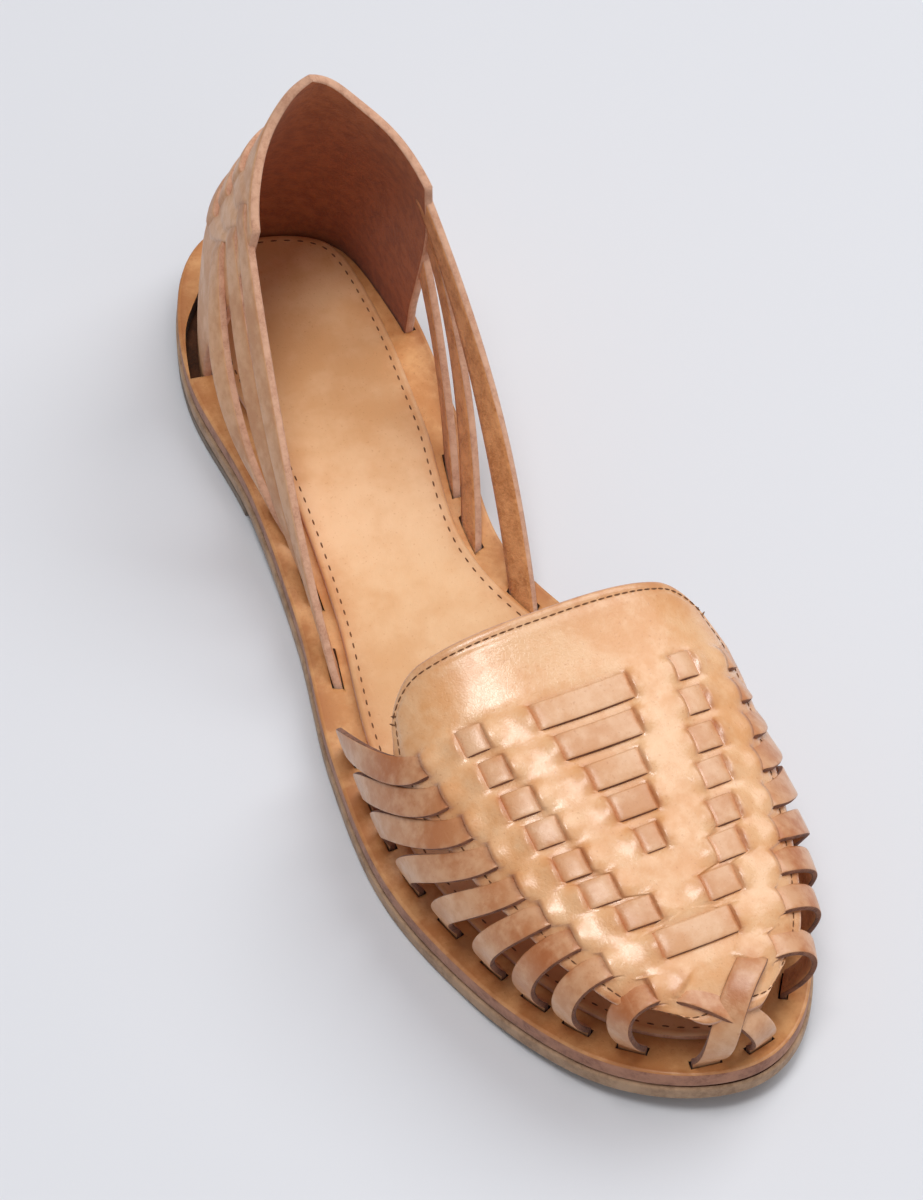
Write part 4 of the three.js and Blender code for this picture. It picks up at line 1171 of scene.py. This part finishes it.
# The outsole's top shows only at the bottom of the slots and takes their painted shade
outsole_shape = slab(0.0, outsole_bottom, outsole_top, 0.6, (1, 2, 0), 240, 24, ledge=True)
outsole_shape.piece("leather_outsole", [sole_face, sole_edge, slot_shade], "outsole_leather", "outsole")
lift_end = angle_at(LIFT_LENGTH, 1, 0.0)
lift_shape = slab(0.0, lambda x: 0 * x, lambda x: LIFT_THICKNESS + 0 * x, 0.4, (1, 1, 0), 90, 24, lift_end)
lift_shape.piece("heel_lift_leather", [sole_face, lift_edge], "lift_leather", "heel_lift")


# Stitches: a curve is cut into even steps, each carries one stitch
def make_stitch_tree():
    tree = bpy.data.node_groups.new("stitch line", "GeometryNodeTree")
    socket = tree.interface.new_socket
    socket(name="Geometry", in_out="INPUT", socket_type="NodeSocketGeometry")
    for label in ("Pitch", "Stitch length", "Thread thickness"):
        socket(name=label, in_out="INPUT", socket_type="NodeSocketFloat")
    socket(name="Thread", in_out="INPUT", socket_type="NodeSocketMaterial")
    socket(name="Geometry", in_out="OUTPUT", socket_type="NodeSocketGeometry")
    given = tree.nodes.new("NodeGroupInput").outputs
    result = tree.nodes.new("NodeGroupOutput")
    values = {"Curve": given["Geometry"], "Length": given["Pitch"]}
    steps = add(tree, "GeometryNodeResampleCurve", values, mode="LENGTH")
    stitch = add(tree, "GeometryNodeMeshUVSphere", {"Segments": 8, "Rings": 6, "Radius": 0.5})
    thickness = given["Thread thickness"]
    size = add(tree, "ShaderNodeCombineXYZ", {"X": thickness, "Y": thickness, "Z": given["Stitch length"]})
    values = {"Geometry": stitch.outputs["Mesh"], "Scale": size.outputs[0]}
    sized = add(tree, "GeometryNodeTransform", values)
    way = add(tree, "GeometryNodeInputTangent").outputs[0]
    turned = add(tree, "FunctionNodeAlignRotationToVector", {"Vector": way}, axis="Z").outputs[0]
    placed = add(tree, "GeometryNodeInstanceOnPoints", {
        "Points": steps.outputs["Curve"], "Instance": sized.outputs["Geometry"], "Rotation": turned,
    })
    real = add(tree, "GeometryNodeRealizeInstances", {"Geometry": placed.outputs["Instances"]})
    values = {"Geometry": real.outputs["Geometry"], "Material": given["Thread"]}
    skin = add(tree, "GeometryNodeSetMaterial", values)
    fill(tree, result, {"Geometry": skin.outputs["Geometry"]})
    return tree


stitch_tree = make_stitch_tree()


def stitch_line(name, path, node, pitch, length, thickness):
    curve = bpy.data.curves.new(name, "CURVE")
    curve.dimensions = "3D"
    spline = curve.splines.new("POLY")
    points = in_metres(path)
    spline.points.add(len(points) - 1)
    spline.points.foreach_set("co", np.c_[points, np.ones(len(points))].ravel())
    carrier = put(name, curve)
    modifier = carrier.modifiers.new("stitches", "NODES")
    modifier.node_group = stitch_tree
    values = {
        "Pitch": pitch / 1000, "Stitch length": length / 1000, "Thread thickness": thickness / 1000,
        "Thread": thread,
    }
    for item in stitch_tree.interface.items_tree:
        if item.in_out == "INPUT" and item.name in values:
            modifier[item.identifier] = values[item.name]
    mesh = evaluated_mesh(carrier)
    bpy.data.objects.remove(carrier)
    for polygon in mesh.polygons:
        polygon.use_smooth = True
    finish_piece(name, mesh, node)


def vamp_stitch_path():
    """All round the vamp, a little in from its edge."""
    rows, columns = vamp_offsets.shape
    runs = []
    for side in (1, -1):
        run = []
        for r in range(3, rows - 3):
            target = side * (np.abs(vamp_offsets[r, -1]) - STITCH_INSET)
            run.append([np.interp(target, vamp_offsets[r], vamp_outer[r][:, k]) for k in range(3)])
        runs.append(run)
    throat = [vamp_outer[3, c] for c in range(4, columns - 4)]
    toe = [vamp_outer[rows - 4, c] for c in range(columns - 5, 4, -1)]
    return np.array(runs[1][::-1] + throat + runs[0] + toe)


stitch_line("vamp_stitches", vamp_stitch_path(), "vamp", 1.8, 1.5, 0.36)
plan = inset_point(np.linspace(0.02, TURN - 0.02, 400), INSOLE_INSET + STITCH_INSET)
height = insole_top(plan[:, 0]) + footbed(plan[:, 0], plan[:, 1]) + 0.02
insole_path = points_of(plan[:, 0], plan[:, 1], height)
stitch_line("insole_stitches", insole_path, "insole", 3.0, 1.5, 0.38)


# Camera, floor and light. The lens is the one fitted on the photo, closed in on the one shoe
EYE = np.array([619.163, -229.312, 730.603])
LOOKED_AT = np.array([128.0, 0.0, 22.0])
FITTED_LENS = 74.57
CLOSER = 1.72
RIGHT = np.array([0.498, 0.867, 0])
AWAY = np.array([-0.867, 0.498, 0])


def face_to(thing, way):
    thing.rotation_euler = Vector(way).to_track_quat("-Z", "Y").to_euler()


def make_camera():
    data = bpy.data.cameras.new("camera")
    camera = put("camera", data)
    camera.location = Vector(in_metres(EYE))
    face_to(camera, (LOOKED_AT - EYE) / 1000)
    data.lens = FITTED_LENS * CLOSER
    data.sensor_width = 36
    data.clip_end = 50
    bpy.context.scene.camera = camera


def make_floor(size=6.0, rough=(0.65, 0.75)):
    material, tree, shader, place = new_material("floor paper")
    fine = noise(tree, place, 900.0, 2.0, 0.5)
    values = {"Base Color": colour(222, 223, 227), "Roughness": ramp(tree, fine, 0.0, 1.0, *rough)}
    fill(tree, shader, values)
    mesh = bpy.data.meshes.new("floor")
    corners = [(-size, -size, 0), (size, -size, 0), (size, size, 0), (-size, size, 0)]
    mesh.from_pydata(corners, [], [(0, 1, 2, 3)])
    mesh.materials.append(material)
    floor = put("floor", mesh)


def area_light(name, place, size, power):
    data = bpy.data.lights.new(name, "AREA")
    data.shape = "RECTANGLE"
    data.size, data.size_y = size
    data.energy = power
    light = put(name, data)
    light.location = place
    face_to(light, Vector((0.0, 0.0, 0.02)) - Vector(place))


def make_light():
    area_light("key", AWAY * 0.75 + RIGHT * 0.75 + UP * 1.55, (1.4, 1.4), 17)
    area_light("overhead", (0.15, -0.22, 1.85), (0.5, 0.7), 14)
    area_light("fill", -AWAY * 1.2 + RIGHT * 0.9 + UP * 1.4, (1.6, 1.6), 4)
    world = bpy.data.worlds.new("room")
    world.use_nodes = True
    shade = next(node for node in world.node_tree.nodes if node.type == "BACKGROUND")
    fill(world.node_tree, shade, {"Color": colour(236, 238, 246), "Strength": 0.3})
    bpy.context.scene.world = world
    bpy.context.scene.view_settings.view_transform = "Standard"


make_camera()
make_floor()
make_light()
